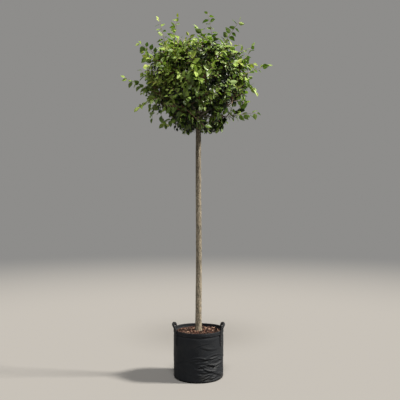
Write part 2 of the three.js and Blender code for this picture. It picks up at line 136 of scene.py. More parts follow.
class BagSettings(bpy.types.PropertyGroup):
    """Sizes and colours of the planter bag, its straps and its stitching."""

    hem: metres("Hem", "Height of the folded hem", 0.03)
    creases: amount("Creases", "Number of smaller creases in the fabric", 120, 0)
    crease_depth: metres("Crease Depth", "Depth of the deepest of the smaller creases", 0.0034)
    stitch_pitch: metres("Stitch Pitch", "From one stitch of the hem to the next", 0.0065)
    fabric: colour_field("Fabric", "Colour of the bag's fabric", (0.0086, 0.0098, 0.0118))
    dust: colour_field("Dust", "Colour of the dust on the fabric", (0.027, 0.0265, 0.026))
    webbing: colour_field("Webbing", "Colour of the straps", (0.010, 0.0105, 0.012))


class MulchSettings(bpy.types.PropertyGroup):
    """Sizes and colours of the bark mulch."""

    chips: amount("Chips", "Number of bark chips", 1500)
    longest: metres("Longest", "Length of the longest chips", 0.035)
    red: colour_field("Red Brown", "Colour of the outer bark", (0.046, 0.019, 0.0125))
    brown: colour_field("Brown", "Colour of damp chips", (0.015, 0.0085, 0.006))
    pale: colour_field("Pale", "Colour of chips with the wood showing", (0.20, 0.125, 0.088))
    soil: colour_field("Compost", "Colour of the moist compost", (0.014, 0.009, 0.006))


class WoodSettings(bpy.types.PropertyGroup):
    """Sizes and colours of the bark and the twigs."""

    relief: metres("Bark Relief", "Depth of the bark's furrows", 0.0007)
    knots: amount("Knots", "Number of healed pruning scars on the stem", 11, 0)
    bark: colour_field("Bark", "Colour of the bark", (0.168, 0.139, 0.097))
    furrow: colour_field("Furrows", "Colour of the bark's furrows", (0.036, 0.032, 0.022))
    fleck: colour_field("Flecks", "Colour of the pale pores and flecks", (0.62, 0.55, 0.44))
    twig: colour_field("Twigs", "Colour of the young twigs", (0.150, 0.082, 0.045))


class LeafSettings(bpy.types.PropertyGroup):
    """Numbers, sizes and colours of the twigs and leaves."""

    side_twigs: amount("Side Twigs", "Number of side twigs on the main ones", 240)
    fine_twigs: amount("Fine Twigs", "Number of fine twigs near the crown's surface", 1220)
    inner_twigs: amount("Inner Twigs", "Number of short leafy twigs inside the crown", 420)
    skirt_twigs: amount("Skirt Twigs", "Number of twigs that hang round the stem", 90)
    top_twigs: amount("Top Twigs", "Number of twigs that fill the crown's top", 24)
    sprays: amount("Sprays", "Number of shoots that stand out of the crown", 90)
    length: metres("Leaf Length", "Length of a full-grown leaf", 0.062)
    width: metres("Leaf Width", "Width of a full-grown leaf", 0.0365)
    spacing: metres("Leaf Spacing", "From leaf to leaf along a twig", 0.0162)
    shoot_spacing: metres("Shoot Leaf Spacing", "From leaf to leaf along a long shoot", 0.019)
    # Deep green is partly painted shade: leaf_kinds gives it to the leaves inside the crown and low
    # down, where shade falls.
    deep: colour_field("Deep Green", "Colour of the leaves in the shade", (0.0105, 0.0230, 0.0060))
    mature: colour_field("Mature Green", "Colour of full-grown leaves", (0.098, 0.160, 0.027))
    fresh: colour_field("Fresh Green", "Colour of this season's leaves", (0.170, 0.251, 0.043))
    young: colour_field(
        "Young Green", "Colour of leaves that have just opened", (0.225, 0.305, 0.055))


class StageSettings(bpy.types.PropertyGroup):
    """The camera's place, the light and the floor."""

    distance: metres("Distance", "From the camera to the stem", 4.8)
    eye: metres("Eye Level", "Height of the camera", 1.47)
    lens: plain_number("Lens", "Focal length in millimetres", 54.0)
    key: plain_number("Key Light", "Strength of the sun-like key light", 9.8)
    top: plain_number("Top Light", "Strength of the soft light from above", 3.3)
    fill: plain_number("Fill Light", "Strength of the light from all round", 0.27)
    air: colour_field("Air", "Colour of the light from all round", (1.0, 0.985, 0.955))
    floor: colour_field("Floor", "Colour of the floor", (0.178, 0.173, 0.167))


# ---- numbers and vectors, as whole arrays ----


def chance(low, high, thing, trait):
    """Repeatable numbers between low and high: the fraction left of a large multiple of the sine
    of a sum of the things' whole numbers and the trait's number."""
    wave = np.sin(7 + np.asarray(thing) * 12.9898 + trait * 78.233) * 43758.5453
    return low + (high - low) * (wave - np.floor(wave))


def between(low, high, share):
    """The value a share of the way from low to high."""
    return low + (high - low) * share


def smooth_step(low, high, value):
    """0 below low, 1 above high, and a smooth rise between them: 3 t squared less 2 t cubed."""
    share = np.clip((value - low) / (high - low), 0, 1)
    return share * share * (3 - 2 * share)


def dot(a, b):
    """The dot product of rows of vectors, kept as a column."""
    return np.sum(a * b, axis=-1, keepdims=True)


def unit(vectors):
    """Vectors of length 1 in the same directions."""
    return vectors / np.maximum(np.linalg.norm(vectors, axis=-1, keepdims=True), 1e-12)


def around(radius, bearing, height):
    """Places round the Z axis: the radius times the bearing's cosine and its sine, at a height."""
    parts = (radius * np.cos(bearing), radius * np.sin(bearing), height)
    return np.stack(np.broadcast_arrays(*parts), axis=-1)


def distance_along(places):
    """How far along a line of places each one lies: 0, and then the sums of the steps."""
    steps = np.linalg.norm(np.diff(places, axis=0), axis=-1)
    return np.cumsum(np.concatenate([[0], steps]))


def square_to(directions):
    """One unit vector square to each direction: its cross product with the vertical, or with
    the X axis for a direction that is nearly upright."""
    upright = np.abs(directions[..., 2:3]) > 0.9
    reference = np.where(upright, np.array([1.0, 0.0, 0.0]), UP)
    return unit(np.cross(directions, reference))


def lattice_noise(across, up, columns, trait):
    """Smooth noise from -1 to 1 in cells of size 1 that repeats after a number of columns: the
    four corners' random numbers, blended by a smooth step in both directions."""
    column, row = np.floor(across), np.floor(up)
    u, v = across - column, up - row
    u, v = u * u * (3 - 2 * u), v * v * (3 - 2 * v)
    left, right = np.mod(column, columns), np.mod(column + 1, columns)

    def corner(a, b):
        return chance(-1, 1, a * 1.37 + b * 57.31, trait)

    low = between(corner(left, row), corner(right, row), u)
    high = between(corner(left, row + 1), corner(right, row + 1), u)
    return between(low, high, v)


# ---- meshes from arrays ----


def make_piece(name, vertices, faces, materials, uv=None, kinds=None, smooth=True):
    """A mesh object from an array of vertices and a list of arrays of faces, each array with as
    many columns as its faces have corners. uv holds a pair for each vertex, and kinds the
    material's number for each face."""
    mesh = bpy.data.meshes.new(name)
    corners = np.concatenate([part.ravel() for part in faces]).astype(np.int32)
    counts = np.concatenate([np.full(len(part), part.shape[1]) for part in faces])
    starts = np.concatenate([[0], np.cumsum(counts)[:-1]]).astype(np.int32)
    mesh.vertices.add(len(vertices))
    mesh.vertices.foreach_set("co", np.ascontiguousarray(vertices, dtype=np.float32).ravel())
    mesh.loops.add(len(corners))
    mesh.loops.foreach_set("vertex_index", corners)
    mesh.polygons.add(len(counts))
    mesh.polygons.foreach_set("loop_start", starts)
    mesh.polygons.foreach_set("use_smooth", np.full(len(counts), smooth))
    if kinds is not None:
        mesh.polygons.foreach_set("material_index", kinds.astype(np.int32))
    if uv is not None:
        layer = mesh.uv_layers.new(name="surface")
        layer.data.foreach_set("uv", uv[corners].astype(np.float32).ravel())
    mesh.update(calc_edges=True)
    if mesh.validate():
        raise RuntimeError(f"{name} has faces that aren't sound")
    for material in materials:
        mesh.materials.append(material)
    piece = bpy.data.objects.new(name, mesh)
    bpy.context.scene.collection.objects.link(piece)
    return piece


def seat(piece, slot, *nodes):
    """The piece rides on the part's one body and stands for nodes, which it hides. The slot is not
    used.
    """
    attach(piece, BODY)
    if nodes:
        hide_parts(*nodes)


def ring_faces(rings, sides):
    """Quads between neighbouring rings of vertices that lie one ring after the other."""
    ring, side = np.meshgrid(np.arange(rings - 1), np.arange(sides), indexing="ij")
    here, following = ring * sides + side, ring * sides + (side + 1) % sides
    quads = np.stack([here, following, following + sides, here + sides], axis=-1)
    return quads.reshape(-1, 4)


def fan(centre, first, sides, reverse):
    """Triangles from a centre vertex to a ring of vertices."""
    here = first + np.arange(sides)
    following = first + (np.arange(sides) + 1) % sides
    pair = [following, here] if reverse else [here, following]
    return np.stack([np.full(sides, centre), *pair], axis=-1)


def closed_tube(rings):
    """Vertices and faces of one closed body from an array of rings: quads along its side, and a
    fan on the middle of the first ring and of the last. The rings run anticlockwise seen from
    the last one."""
    count, sides = rings.shape[:2]
    ends = np.stack([rings[0].mean(axis=0), rings[-1].mean(axis=0)])
    vertices = np.concatenate([rings.reshape(-1, 3), ends])
    low = fan(count * sides, 0, sides, True)
    high = fan(count * sides + 1, (count - 1) * sides, sides, False)
    return vertices, [ring_faces(count, sides), np.concatenate([low, high])]


def copies_of(faces, count, vertices_each):
    """The same faces for a count of bodies whose vertices follow each other."""
    offset = np.arange(count)[:, None, None] * vertices_each
    return [(part[None] + offset).reshape(-1, part.shape[1]) for part in faces]


def tubes_along(points, radii, sides):
    """Closed tubes along many lines at once. points has a row of places for each line and radii a
    radius for each place. A ring lies square to the line, and starts from the vector square to the
    line's whole direction, so that a tube doesn't twist."""
    tangents = unit(np.gradient(points, axis=1))
    whole = unit(points[:, -1] - points[:, 0])
    side = np.broadcast_to(square_to(whole)[:, None], tangents.shape)
    side = unit(side - tangents * dot(side, tangents))
    other = np.cross(tangents, side)
    turn = np.arange(sides) * FULL_TURN / sides
    ring = side[:, :, None] * np.cos(turn)[:, None] + other[:, :, None] * np.sin(turn)[:, None]
    rings = points[:, :, None] + ring * radii[:, :, None, None]
    count, steps = points.shape[:2]
    ends = np.stack([points[:, 0], points[:, -1]], axis=1)
    vertices = np.concatenate([rings.reshape(count, -1, 3), ends], axis=1)
    low = fan(steps * sides, 0, sides, True)
    high = fan(steps * sides + 1, (steps - 1) * sides, sides, False)
    faces = [ring_faces(steps, sides), np.concatenate([low, high])]
    return vertices.reshape(-1, 3), copies_of(faces, count, steps * sides + 2)


# ---- materials ----


class Signal:
    """A socket of a material's nodes. Arithmetic on it adds Math nodes."""

    def __init__(self, recipe, socket):
        self.recipe = recipe
        self.socket = socket

    def calculate(self, operation, *others):
        """The result of a Math node whose first value is this signal."""
        names = ("Value", "Value_001", "Value_002")
        values = dict(zip(names, (self, *others)))
        return self.recipe.add("ShaderNodeMath", {"operation": operation}, values)

    def reflected(self, operation, other):
        """The result of a Math node whose second value is this signal."""
        values = {"Value": other, "Value_001": self}
        return self.recipe.add("ShaderNodeMath", {"operation": operation}, values)

    def __add__(self, other):
        return self.calculate("ADD", other)

    def __radd__(self, other):
        return self.reflected("ADD", other)

    def __sub__(self, other):
        return self.calculate("SUBTRACT", other)

    def __rsub__(self, other):
        return self.reflected("SUBTRACT", other)

    def __mul__(self, other):
        return self.calculate("MULTIPLY", other)

    def __rmul__(self, other):
        return self.reflected("MULTIPLY", other)

    def sine(self):
        return self.calculate("SINE")

    def size(self):
        return self.calculate("ABSOLUTE")

    def rise(self, low, high):
        """0 where the signal is below low, 1 above high, and a smooth rise between them."""
        settings = {"interpolation_type": "SMOOTHSTEP"}
        values = {"Value": self, "From Min": low, "From Max": high}
        return self.recipe.add("ShaderNodeMapRange", settings, values)


class Recipe:
    """The nodes of one material, which ends in a Principled shader."""

    def __init__(self, name, roughness=0.5, gloss=0.5, coat=0.0):
        self.material = bpy.data.materials.new(name)
        self.material.use_nodes = True
        self.tree = self.material.node_tree
        self.shader = self.tree.nodes["Principled BSDF"]
        self.shader.inputs["Roughness"].default_value = roughness
        self.shader.inputs["Specular IOR Level"].default_value = gloss
        self.shader.inputs["Coat Weight"].default_value = coat
        self.shader.inputs["Coat Roughness"].default_value = 0.3

    def add(self, kind, settings=None, values=None, output=0):
        """One node of any kind, with its settings and then the values or links of its sockets."""
        node = self.tree.nodes.new(kind)
        for name, setting in (settings or {}).items():
            setattr(node, name, setting)
        for name, value in (values or {}).items():
            self.feed(next(s for s in node.inputs if s.identifier == name), value)
        return Signal(self, node.outputs[output])

    def feed(self, socket, value):
        """A link to a socket, or its own value."""
        if isinstance(value, Signal):
            self.tree.links.new(value.socket, socket)
        else:
            socket.default_value = value

    def place(self, scale=(1, 1, 1)):
        """Object coordinates, scaled."""
        position = self.add("ShaderNodeTexCoord", output=3)
        return self.add("ShaderNodeMapping", None, {"Vector": position, "Scale": scale})

    def surface(self):
        """The two values of the piece's own UV map."""
        position = self.add("ShaderNodeUVMap", {"uv_map": "surface"})
        parts = self.add("ShaderNodeSeparateXYZ", None, {"Vector": position})
        outputs = parts.socket.node.outputs
        return Signal(self, outputs[0]), Signal(self, outputs[1])

    def noise(self, vector, scale, detail=2.0, roughness=0.5):
        """Noise from 0 to 1."""
        values = {"Vector": vector, "Scale": scale, "Detail": detail, "Roughness": roughness}
        return self.add("ShaderNodeTexNoise", None, values)

    def cells(self, vector, scale):
        """The distance from the middle of the nearest of some scattered cells."""
        return self.add("ShaderNodeTexVoronoi", None, {"Vector": vector, "Scale": scale})

    def mix(self, share, first, second):
        """A colour a share of the way from the first to the second."""
        colours = [c if isinstance(c, Signal) else (*c, 1) for c in (first, second)]
        values = {"Factor_Float": share, "A_Color": colours[0], "B_Color": colours[1]}
        return self.add("ShaderNodeMix", {"data_type": "RGBA"}, values, output=2)

    def finish(self, colour, height=None, depth=0.001, roughness=None):
        """Feeds the shader: its colour, a bump of a depth in metres, and its roughness."""
        inputs = self.shader.inputs
        self.feed(inputs["Base Color"], colour if isinstance(colour, Signal) else (*colour, 1))
        if roughness is not None:
            self.feed(inputs["Roughness"], roughness)
        if height is not None:
            bump = self.add("ShaderNodeBump", None, {"Height": height, "Distance": depth})
            self.feed(inputs["Normal"], bump)
        return self.material

    def let_light_through(self, share, colour):
        """Mixes in a share of a translucent shader, for light that comes through from behind."""
        sheer = self.add("ShaderNodeBsdfTranslucent", None, {"Color": (*colour, 1)})
        skin = Signal(self, self.shader.outputs[0])
        values = {"Fac": share, "Shader": skin, "Shader_001": sheer}
        mixed = self.add("ShaderNodeMixShader", None, values)
        self.tree.links.new(mixed.socket, self.tree.nodes["Material Output"].inputs["Surface"])


def shade(colour, factor, more=0.0):
    """A colour made lighter or darker by a factor, or by one for each channel, plus more."""
    return tuple(np.array(colour) * factor + more)


THREAD_PITCH = 0.0016
RIB_PITCH = 0.0018


def woven_fabric(name, base, dust):
    """Plain-woven black fabric: a fine weave that follows the surface, faint dust low down and
    in patches, and a gloss that varies."""
    recipe = Recipe(name, gloss=0.10)
    across, up = recipe.surface()
    thread = FULL_TURN / THREAD_PITCH
    weave = (across * thread).sine() * (up * thread).sine()
    patches = recipe.noise(recipe.place(), 14, 5, 0.6)
    low_down = 1 - up.rise(0.0, 0.09)
    dusty = patches.rise(0.45, 0.78) * (0.25 + low_down * 0.6)
    colour = recipe.mix(dusty, base, dust)
    gloss = recipe.noise(recipe.place((1, 1, 0.5)), 60, 3)
    cloth = recipe.noise(recipe.place(), 220, 3, 0.7)
    height = weave * 0.25 + cloth
    return recipe.finish(colour, height, 0.0005, 0.46 + gloss * 0.22)


def ribbed_webbing(name, base):
    """Flat webbing: fine ribs across the strap and a slightly worn face."""
    recipe = Recipe(name, gloss=0.08)
    across, along = recipe.surface()
    rib = FULL_TURN / RIB_PITCH
    ribs = (along * rib).sine() * (across * (rib / 2)).sine()
    worn = recipe.noise(recipe.place(), 45, 4, 0.6)
    colour = recipe.mix(worn.rise(0.4, 0.8), base, shade(base, 2.2))
    return recipe.finish(colour, ribs, 0.0005, 0.42 + worn * 0.2)


def sewing_thread(name, base):
    """Twisted thread, a little lighter than the fabric."""
    recipe = Recipe(name, roughness=0.55)
    twist = recipe.noise(recipe.place(), 900, 1)
    return recipe.finish(recipe.mix(twist, base, shade(base, 2.0)), twist, 0.0003)


def chip_bark(name, base, deep):
    """A bark chip: streaky colour from flake to flake, with a rough face."""
    recipe = Recipe(name, gloss=0.12)
    flakes = recipe.noise(recipe.place(), 55, 4, 0.65)
    grain = recipe.noise(recipe.place((1, 1, 2.5)), 320, 4, 0.7)
    colour = recipe.mix(flakes.rise(0.36, 0.66), recipe.mix(grain, base, shade(base, 1.7)), deep)
    return recipe.finish(colour, grain + flakes * 0.6, 0.0016, 0.72 + grain * 0.2)


def moist_compost(name, base):
    """Dark crumbly compost."""
    recipe = Recipe(name, roughness=0.9, gloss=0.15)
    crumbs = recipe.noise(recipe.place(), 160, 5, 0.75)
    return recipe.finish(recipe.mix(crumbs, base, shade(base, 3.2)), crumbs, 0.004)


def young_bark(name, settings):
    """Thin smooth bark: upright streaks and clouds of grey, dark furrows, and many pale pores that
    lie across the stem."""
    recipe = Recipe(name, roughness=0.8, gloss=0.3)
    streaks = recipe.noise(recipe.place((1, 1, 0.12)), 110, 5, 0.62)
    clouds = recipe.noise(recipe.place((1, 1, 0.6)), 70, 5, 0.7)
    furrows = recipe.noise(recipe.place((1, 1, 0.2)), 260, 4, 0.65)
    pores = 1 - recipe.cells(recipe.place((1, 1, 2.6)), 105).rise(0.12, 0.3)
    scattered = recipe.noise(recipe.place(), 30, 2).rise(0.46, 0.6)
    flecks = recipe.noise(recipe.place((1, 1, 1.5)), 150, 3, 0.6).rise(0.58, 0.68)
    grey = shade(settings.bark, (0.42, 0.43, 0.43))
    ground = recipe.mix(clouds.rise(0.45, 0.58), settings.bark, grey)
    ground = recipe.mix(streaks.rise(0.42, 0.68) * 0.75, ground, settings.furrow)
    pale = (pores * scattered).calculate("MAXIMUM", flecks * 0.55)
    colour = recipe.mix(pale, ground, settings.fleck)
    height = furrows * 0.8 + streaks * 0.5 + pores * scattered * 0.8
    return recipe.finish(colour, height, 0.0016, 0.7 + streaks * 0.2)


PORE_COLOUR = (0.35, 0.28, 0.19)


def twig_bark(name, base):
    """Smooth shoots, brown to reddish, with small pale pores."""
    recipe = Recipe(name, roughness=0.55)
    hue = recipe.noise(recipe.place(), 9, 2)
    pores = recipe.noise(recipe.place(), 420, 2).rise(0.6, 0.7)
    ground = recipe.mix(hue, shade(base, 0.7), shade(base, (1.5, 1.25, 1.1)))
    colour = recipe.mix(pores * 0.5, ground, PORE_COLOUR)
    return recipe.finish(colour, pores, 0.0005)


SIDE_VEINS = 8


def leaf_skin(name, base, vein, glow, roughness, coat):
    """A leaf's skin: a pale midrib and side veins that run out and forward to the edge, all on
    the leaf's own UV map, a hue that drifts a little through the crown, and a glow of the light
    that comes through the blade."""
    recipe = Recipe(name, roughness=roughness, gloss=0.42, coat=coat)
    across, along = recipe.surface()
    aside = across.size()
    midrib = 1 - aside.rise(0.02, 0.10)
    side_veins = ((along - aside * 0.22) * (FULL_TURN * SIDE_VEINS)).sine().rise(0.80, 0.99)
    veins = midrib.calculate("MAXIMUM", side_veins * 0.45)
    drift = recipe.noise(recipe.place(), 6, 2).rise(0.35, 0.65)
    ground = recipe.mix(drift, shade(base, 0.86), shade(base, (1.22, 1.1, 1.0)))
    colour = recipe.mix(veins * 0.4, ground, vein)
    recipe.let_light_through(0.26, glow)
    return recipe.finish(colour, 1 - veins, 0.0006)


FLOOR_FADE = (3.0, 10.0)


def plain_floor(name, base, distant):
    """A plain matte floor that fades, with the distance from the tree, into an even glow of the
    colour of the light from all round, so that no edge shows."""
    recipe = Recipe(name, roughness=0.95, gloss=0.0)
    position = recipe.add("ShaderNodeTexCoord", output=3)
    measure = {"operation": "LENGTH"}
    away = recipe.add("ShaderNodeVectorMath", measure, {"Vector": position}, output=1)
    far = away.rise(*FLOOR_FADE)
    recipe.feed(recipe.shader.inputs["Emission Color"], recipe.mix(far, (0, 0, 0), distant))
    recipe.shader.inputs["Emission Strength"].default_value = 1.0
    return recipe.finish(recipe.mix(far, base, (0, 0, 0)))


# ---- the bag ----


BAG_SIDES = 320
BAG_ROWS = 140
BAG_FOOT = 0.016
BAG_BULGE = 0.0015
RIM_LIFT_FROM = 0.25
RIM_HALF_THICKNESS = 0.002
BAG_FLOOR = 0.002


def bag_outline(z):
    """The bag's outer radius at a height: full in the middle by half a sine wave, and drawn in at
    the foot by a quarter circle."""
    belly = BAG_BULGE * np.sin(math.pi * z / BAG_HEIGHT)
    below = np.clip(BAG_FOOT - z, 0, BAG_FOOT)
    return BAG_RADIUS - BAG_BULGE + belly - (BAG_FOOT - np.sqrt(BAG_FOOT**2 - below**2))


# The deepest folds, low on the front right where the bag has sagged: each one's bearing in
# degrees, its level, slope, half length, half width, depth and curve.
MAIN_FOLDS = (
    (-46, 0.128, 0.10, 0.050, 0.0060, 0.0080, 2.0),
    (-62, 0.140, -0.14, 0.035, 0.0060, 0.0062, -3.0),
    (-50, 0.088, 0.16, 0.028, 0.0055, 0.0074, 6.0),
    (-68, 0.098, -0.30, 0.040, 0.0065, 0.0066, 4.0),
    (-40, 0.060, -0.22, 0.040, 0.0060, 0.0044, -5.0),
    (-58, 0.186, 0.06, 0.050, 0.0060, 0.0036, 1.0),
    (-50, 0.212, 0.04, 0.055, 0.0065, 0.0030, -2.0),
    (-78, 0.160, 0.12, 0.050, 0.0065, 0.0034, 2.0),
    (-55, 0.034, 0.10, 0.050, 0.0065, 0.0040, 3.0),
    (-72, 0.060, 0.30, 0.030, 0.0060, 0.0042, -4.0),
    (-30, 0.165, -0.25, 0.035, 0.0060, 0.0036, 4.0),
    (-64, 0.262, -0.16, 0.060, 0.0090, 0.0026, 1.5),
)


# The smaller creases: the share of them that crowd together on the front right, and for those and
# for the rest the bearings that they lie between, the highest level, and how much steeper and
# deeper they are.
CROWDED_SHARE = 0.62
CROWDED_CREASES = ((-1.62, -0.25), 0.20, 1.0, 1.0)
SCATTERED_CREASES = ((0, FULL_TURN), 0.34, 1.8, 0.45)


def crease_profile(bearing, z, middle, level, tilt, length, width, depth, curve):
    """One crease: a ridge along a short curved line with a hollow below it, two Gaussians across
    the line, times a taper along it."""
    turned = np.mod(bearing - middle + math.pi, FULL_TURN) - math.pi
    along = turned * BAG_RADIUS * math.cos(tilt) + (z - level) * math.sin(tilt)
    off = (z - level) * math.cos(tilt) - turned * BAG_RADIUS * math.sin(tilt) - curve * along**2
    ridge = np.exp(-((off / width) ** 2))
    hollow = 0.8 * np.exp(-(((off + 1.7 * width) / (1.2 * width)) ** 2))
    return depth * (ridge - hollow) * np.exp(-((along / length) ** 2))


def bag_creases(bearing, z, settings):
    """How far the creases move the fabric in or out: the main folds, and many smaller creases,
    most of them nearly level and low on the front right."""
    height = np.zeros(np.broadcast(bearing, z).shape)
    for degrees, *shape in MAIN_FOLDS:
        height += crease_profile(bearing, z, math.radians(degrees), *shape)
    for index in range(settings.creases):
        crowded = index < settings.creases * CROWDED_SHARE
        bearings, highest, steeper, deeper = CROWDED_CREASES if crowded else SCATTERED_CREASES
        middle = between(*bearings, chance(0, 1, index, 41))
        level = chance(0.03, highest, index, 42)
        tilt = chance(-0.42, 0.42, index, 43) * steeper
        length = chance(0.020, 0.095, index, 44)
        width = chance(0.0035, 0.0095, index, 45)
        depth = settings.crease_depth * chance(0.12, 1.0, index, 46) ** 1.6 * deeper
        curve = chance(-5, 5, index, 47)
        height += crease_profile(bearing, z, middle, level, tilt, length, width, depth, curve)
    return height


def bag_inset(z):
    """How far the bag's inner face lies inside its outline: a few millimetres at the rim, and more
    below the mulch, where the creases need room."""
    return between(0.0110, 0.0045, smooth_step(0.350, 0.368, z))


def bag_slack(bearing, z):
    """The fabric's slow waves: noise in cells of about 13 cm and of 4 cm, none at the foot."""
    wide = lattice_noise(bearing / FULL_TURN * 9, z * 8, 9, 51)
    narrow = lattice_noise(bearing / FULL_TURN * 26, z * 30, 26, 52)
    return (0.0022 * wide + 0.0008 * narrow) * smooth_step(0.0, 0.05, z)


def rim_lift(bearing, z):
    """The rise and fall of the rim, which is pulled up a little at the straps. It fades out
    downwards."""
    wave = 0.0012 * np.sin(3 * bearing + 0.7) + 0.0016 * np.cos(2 * bearing) - 0.0016
    return wave * smooth_step(RIM_LIFT_FROM, BAG_HEIGHT, z)


def hem_pillow(z, hem):
    """How far the hem swells between its two seams: half a sine wave up its height."""
    return 0.0007 * np.sin(math.pi * np.clip((z - (BAG_HEIGHT - hem)) / hem, 0, 1))


def bag_surface(settings):
    """Rings of vertices from the middle of the underside, up the outside, over the folded rim and
    down the inside to the middle of the floor. The hem is a band that stands proud by the
    thickness of one more layer."""
    bearing = np.linspace(0, FULL_TURN, BAG_SIDES, endpoint=False)[None]
    hem_foot = BAG_HEIGHT - settings.hem
    foot = np.linspace(0, BAG_FOOT, 7)
    side = np.linspace(0.0185, hem_foot - 0.003, BAG_ROWS)
    band = hem_foot + np.array([-0.0015, -0.0002, 0.0006, 0.002])
    hem = np.linspace(hem_foot + 0.005, BAG_HEIGHT - 0.003, 8)
    z = np.concatenate([foot, side, band, hem])[:, None]
    proud = 0.0016 * smooth_step(hem_foot - 0.0008, hem_foot + 0.001, z)
    tuck = 0.5 + 0.5 * lattice_noise(bearing / FULL_TURN * 14, z * 0, 14, 53)
    groove = -0.0048 * (0.35 + 0.65 * tuck) * np.exp(-(((z - hem_foot + 0.008) / 0.008) ** 2))
    creases = bag_creases(bearing, z, settings) * (1 - smooth_step(hem_foot - 0.03, hem_foot, z))
    moved = (bag_slack(bearing, z) + creases + groove) * smooth_step(0.0, 0.012, z)
    outer = bag_outline(z) - 0.0012 + moved + proud + hem_pillow(z, settings.hem)
    outer_z = z + rim_lift(bearing, z)
    rim_turn = np.linspace(0.15, 0.95, 5)[:, None] * math.pi
    rim_radius = outer[-1:] - RIM_HALF_THICKNESS * (1 - np.cos(rim_turn))
    rim_z = outer_z[-1:] + 0.003 * np.sin(rim_turn)
    below_rim, lower_down = np.linspace(BAG_HEIGHT - 0.006, 0.33, 14), [0.2, 0.1, 0.02, BAG_FLOOR]
    inner_z = np.concatenate([below_rim, lower_down])[:, None]
    inner = bag_outline(inner_z) - bag_inset(inner_z) + bag_slack(bearing, inner_z)
    under = np.linspace(0.15, 0.92, 5)[:, None] * outer[:1]
    floor = np.linspace(0.92, 0.15, 4)[:, None] * inner[-1:]
    inner_z = inner_z + rim_lift(bearing, inner_z)
    stretches = ((under, 0), (outer, outer_z), (rim_radius, rim_z), (inner, inner_z),
                 (floor, BAG_FLOOR))
    rings = np.concatenate([around(radius, bearing, height) for radius, height in stretches])
    path = distance_along(rings[:, 0])
    return rings, path - path[len(under)]


# A stitch's length and radius, and how far the hem's two seams lie above its foot and below the
# rim.
STITCH_SIZE = (0.0042, 0.00055)
HEM_SEAMS = (0.004, 0.006)


def stitches_at(places, along, out, length, radius):
    """Vertices and faces of stitches, each a spindle of six sides and three rings."""
    stations = np.array([-0.5, -0.28, 0.28, 0.5])
    girth = np.array([0.35, 1.0, 1.0, 0.35]) * radius
    points = places[:, None] + along[:, None] * (stations * length)[:, None]
    points = points + out[:, None] * (np.array([-0.7, 0.25, 0.25, -0.7]) * radius)[:, None]
    return tubes_along(points, np.broadcast_to(girth, points.shape[:2]), 6)


class PLANTERTREE_OT_bag(bpy.types.Operator):
    """Makes the bag's creased shell with its folded hem"""

    bl_idname = "planter_tree.bag"
    bl_label = "Make the Bag"

    def execute(self, context):
        settings = context.scene.planter_tree_bag
        rings, path = bag_surface(settings)
        vertices, faces = closed_tube(rings)
        turn = np.linspace(0, FULL_TURN * BAG_RADIUS, rings.shape[1], endpoint=False)
        uv = np.stack(np.meshgrid(path, turn, indexing="ij")[::-1], axis=-1).reshape(-1, 2)
        uv = np.concatenate([uv, np.zeros((2, 2))])
        fabric = woven_fabric("bag_fabric", settings.fabric, settings.dust)
        piece = make_piece("bag_shell", vertices, faces, [fabric], uv)
        seat(piece, "bag_fabric", "planter_bag")
        return {"FINISHED"}


# ---- the straps ----

STRAP_STEPS = 140
STRAP_WIDTH = 0.022
STRAP_THICKNESS = 0.0026
STRAP_HALF_ANGLE = 2.5 * FULL_TURN / 32
STRAP_SHOULDER = 0.366
STRAP_GAP = 0.0008  # from the bag's outline to a strap's inner face
STRAP_LEAN = 0.007
LEAN_FROM = 0.328  # the height over which a strap leans away from the bag
GRIP_HALF_SIZES = (0.0118, 0.0094)
GRIP_INSET = 0.0016
ARCH_POWER = 0.8
SEWN_BOX = (0.0078, 0.004, 0.046)  # its half width, and its two ends along a strap's leg
BOX_STITCH_PITCH = 0.0048
STRAP_UV_LENGTH = 0.4  # what a strap's whole length counts as in its UV map


def strap_line(share):
    """The middle line of a strap, as bearings from the loop's middle and heights: up one leg, over
    an arch whose sine and cosine are raised to a power, and down the other leg. A power below 1
    makes the arch squarer."""
    foot, top = STRAP_LOW[2], STRAP_HIGH[2]
    rise = top - STRAP_WIDTH / 2 - STRAP_SHOULDER
    arch = STRAP_HALF_ANGLE * BAG_RADIUS + rise
    along = np.abs(2 * share - 1) * (arch + STRAP_SHOULDER - foot)
    sweep = np.minimum(along / arch, 1) * math.pi / 2
    bearing = np.sign(share - 0.5) * STRAP_HALF_ANGLE * np.sin(sweep) ** ARCH_POWER
    over = rise * np.maximum(np.cos(sweep), 0) ** ARCH_POWER
    return bearing, STRAP_SHOULDER + over - np.maximum(along - arch, 0)


def strap_frame(middle, steps):
    """Places along a strap's inner face with three directions at each: along the strap, across it
    and out from the bag."""
    bearing, z = strap_line(np.linspace(0, 1, steps))
    lean = np.maximum(z - LEAN_FROM, 0) / (STRAP_HIGH[2] - LEAN_FROM)
    radius = bag_outline(np.minimum(z, BAG_HEIGHT)) + STRAP_GAP + STRAP_LEAN * lean**2
    places = around(radius, middle + bearing, z)
    along = unit(np.gradient(places, axis=0))
    out = unit(places * (1, 1, 0))
    out = unit(out - along * dot(out, along))
    return places, along, np.cross(along, out), out


def strap_section():
    """The strap's flat cross-section, across and proud: an oblong whose ends are half circles."""
    half, radius = STRAP_WIDTH / 2, STRAP_THICKNESS / 2
    turn = np.linspace(-math.pi / 2, math.pi / 2, 6)
    straight = half - radius
    right = np.stack([straight + radius * np.cos(turn), radius + radius * np.sin(turn)], axis=-1)
    face = np.linspace(straight, -straight, 7)[1:-1]
    top = np.stack([face, np.full_like(face, STRAP_THICKNESS)], axis=-1)
    left = right[::-1] * (-1, 1)
    low = np.stack([-face, np.zeros_like(face)], axis=-1)
    return np.concatenate([right, top, left, low])


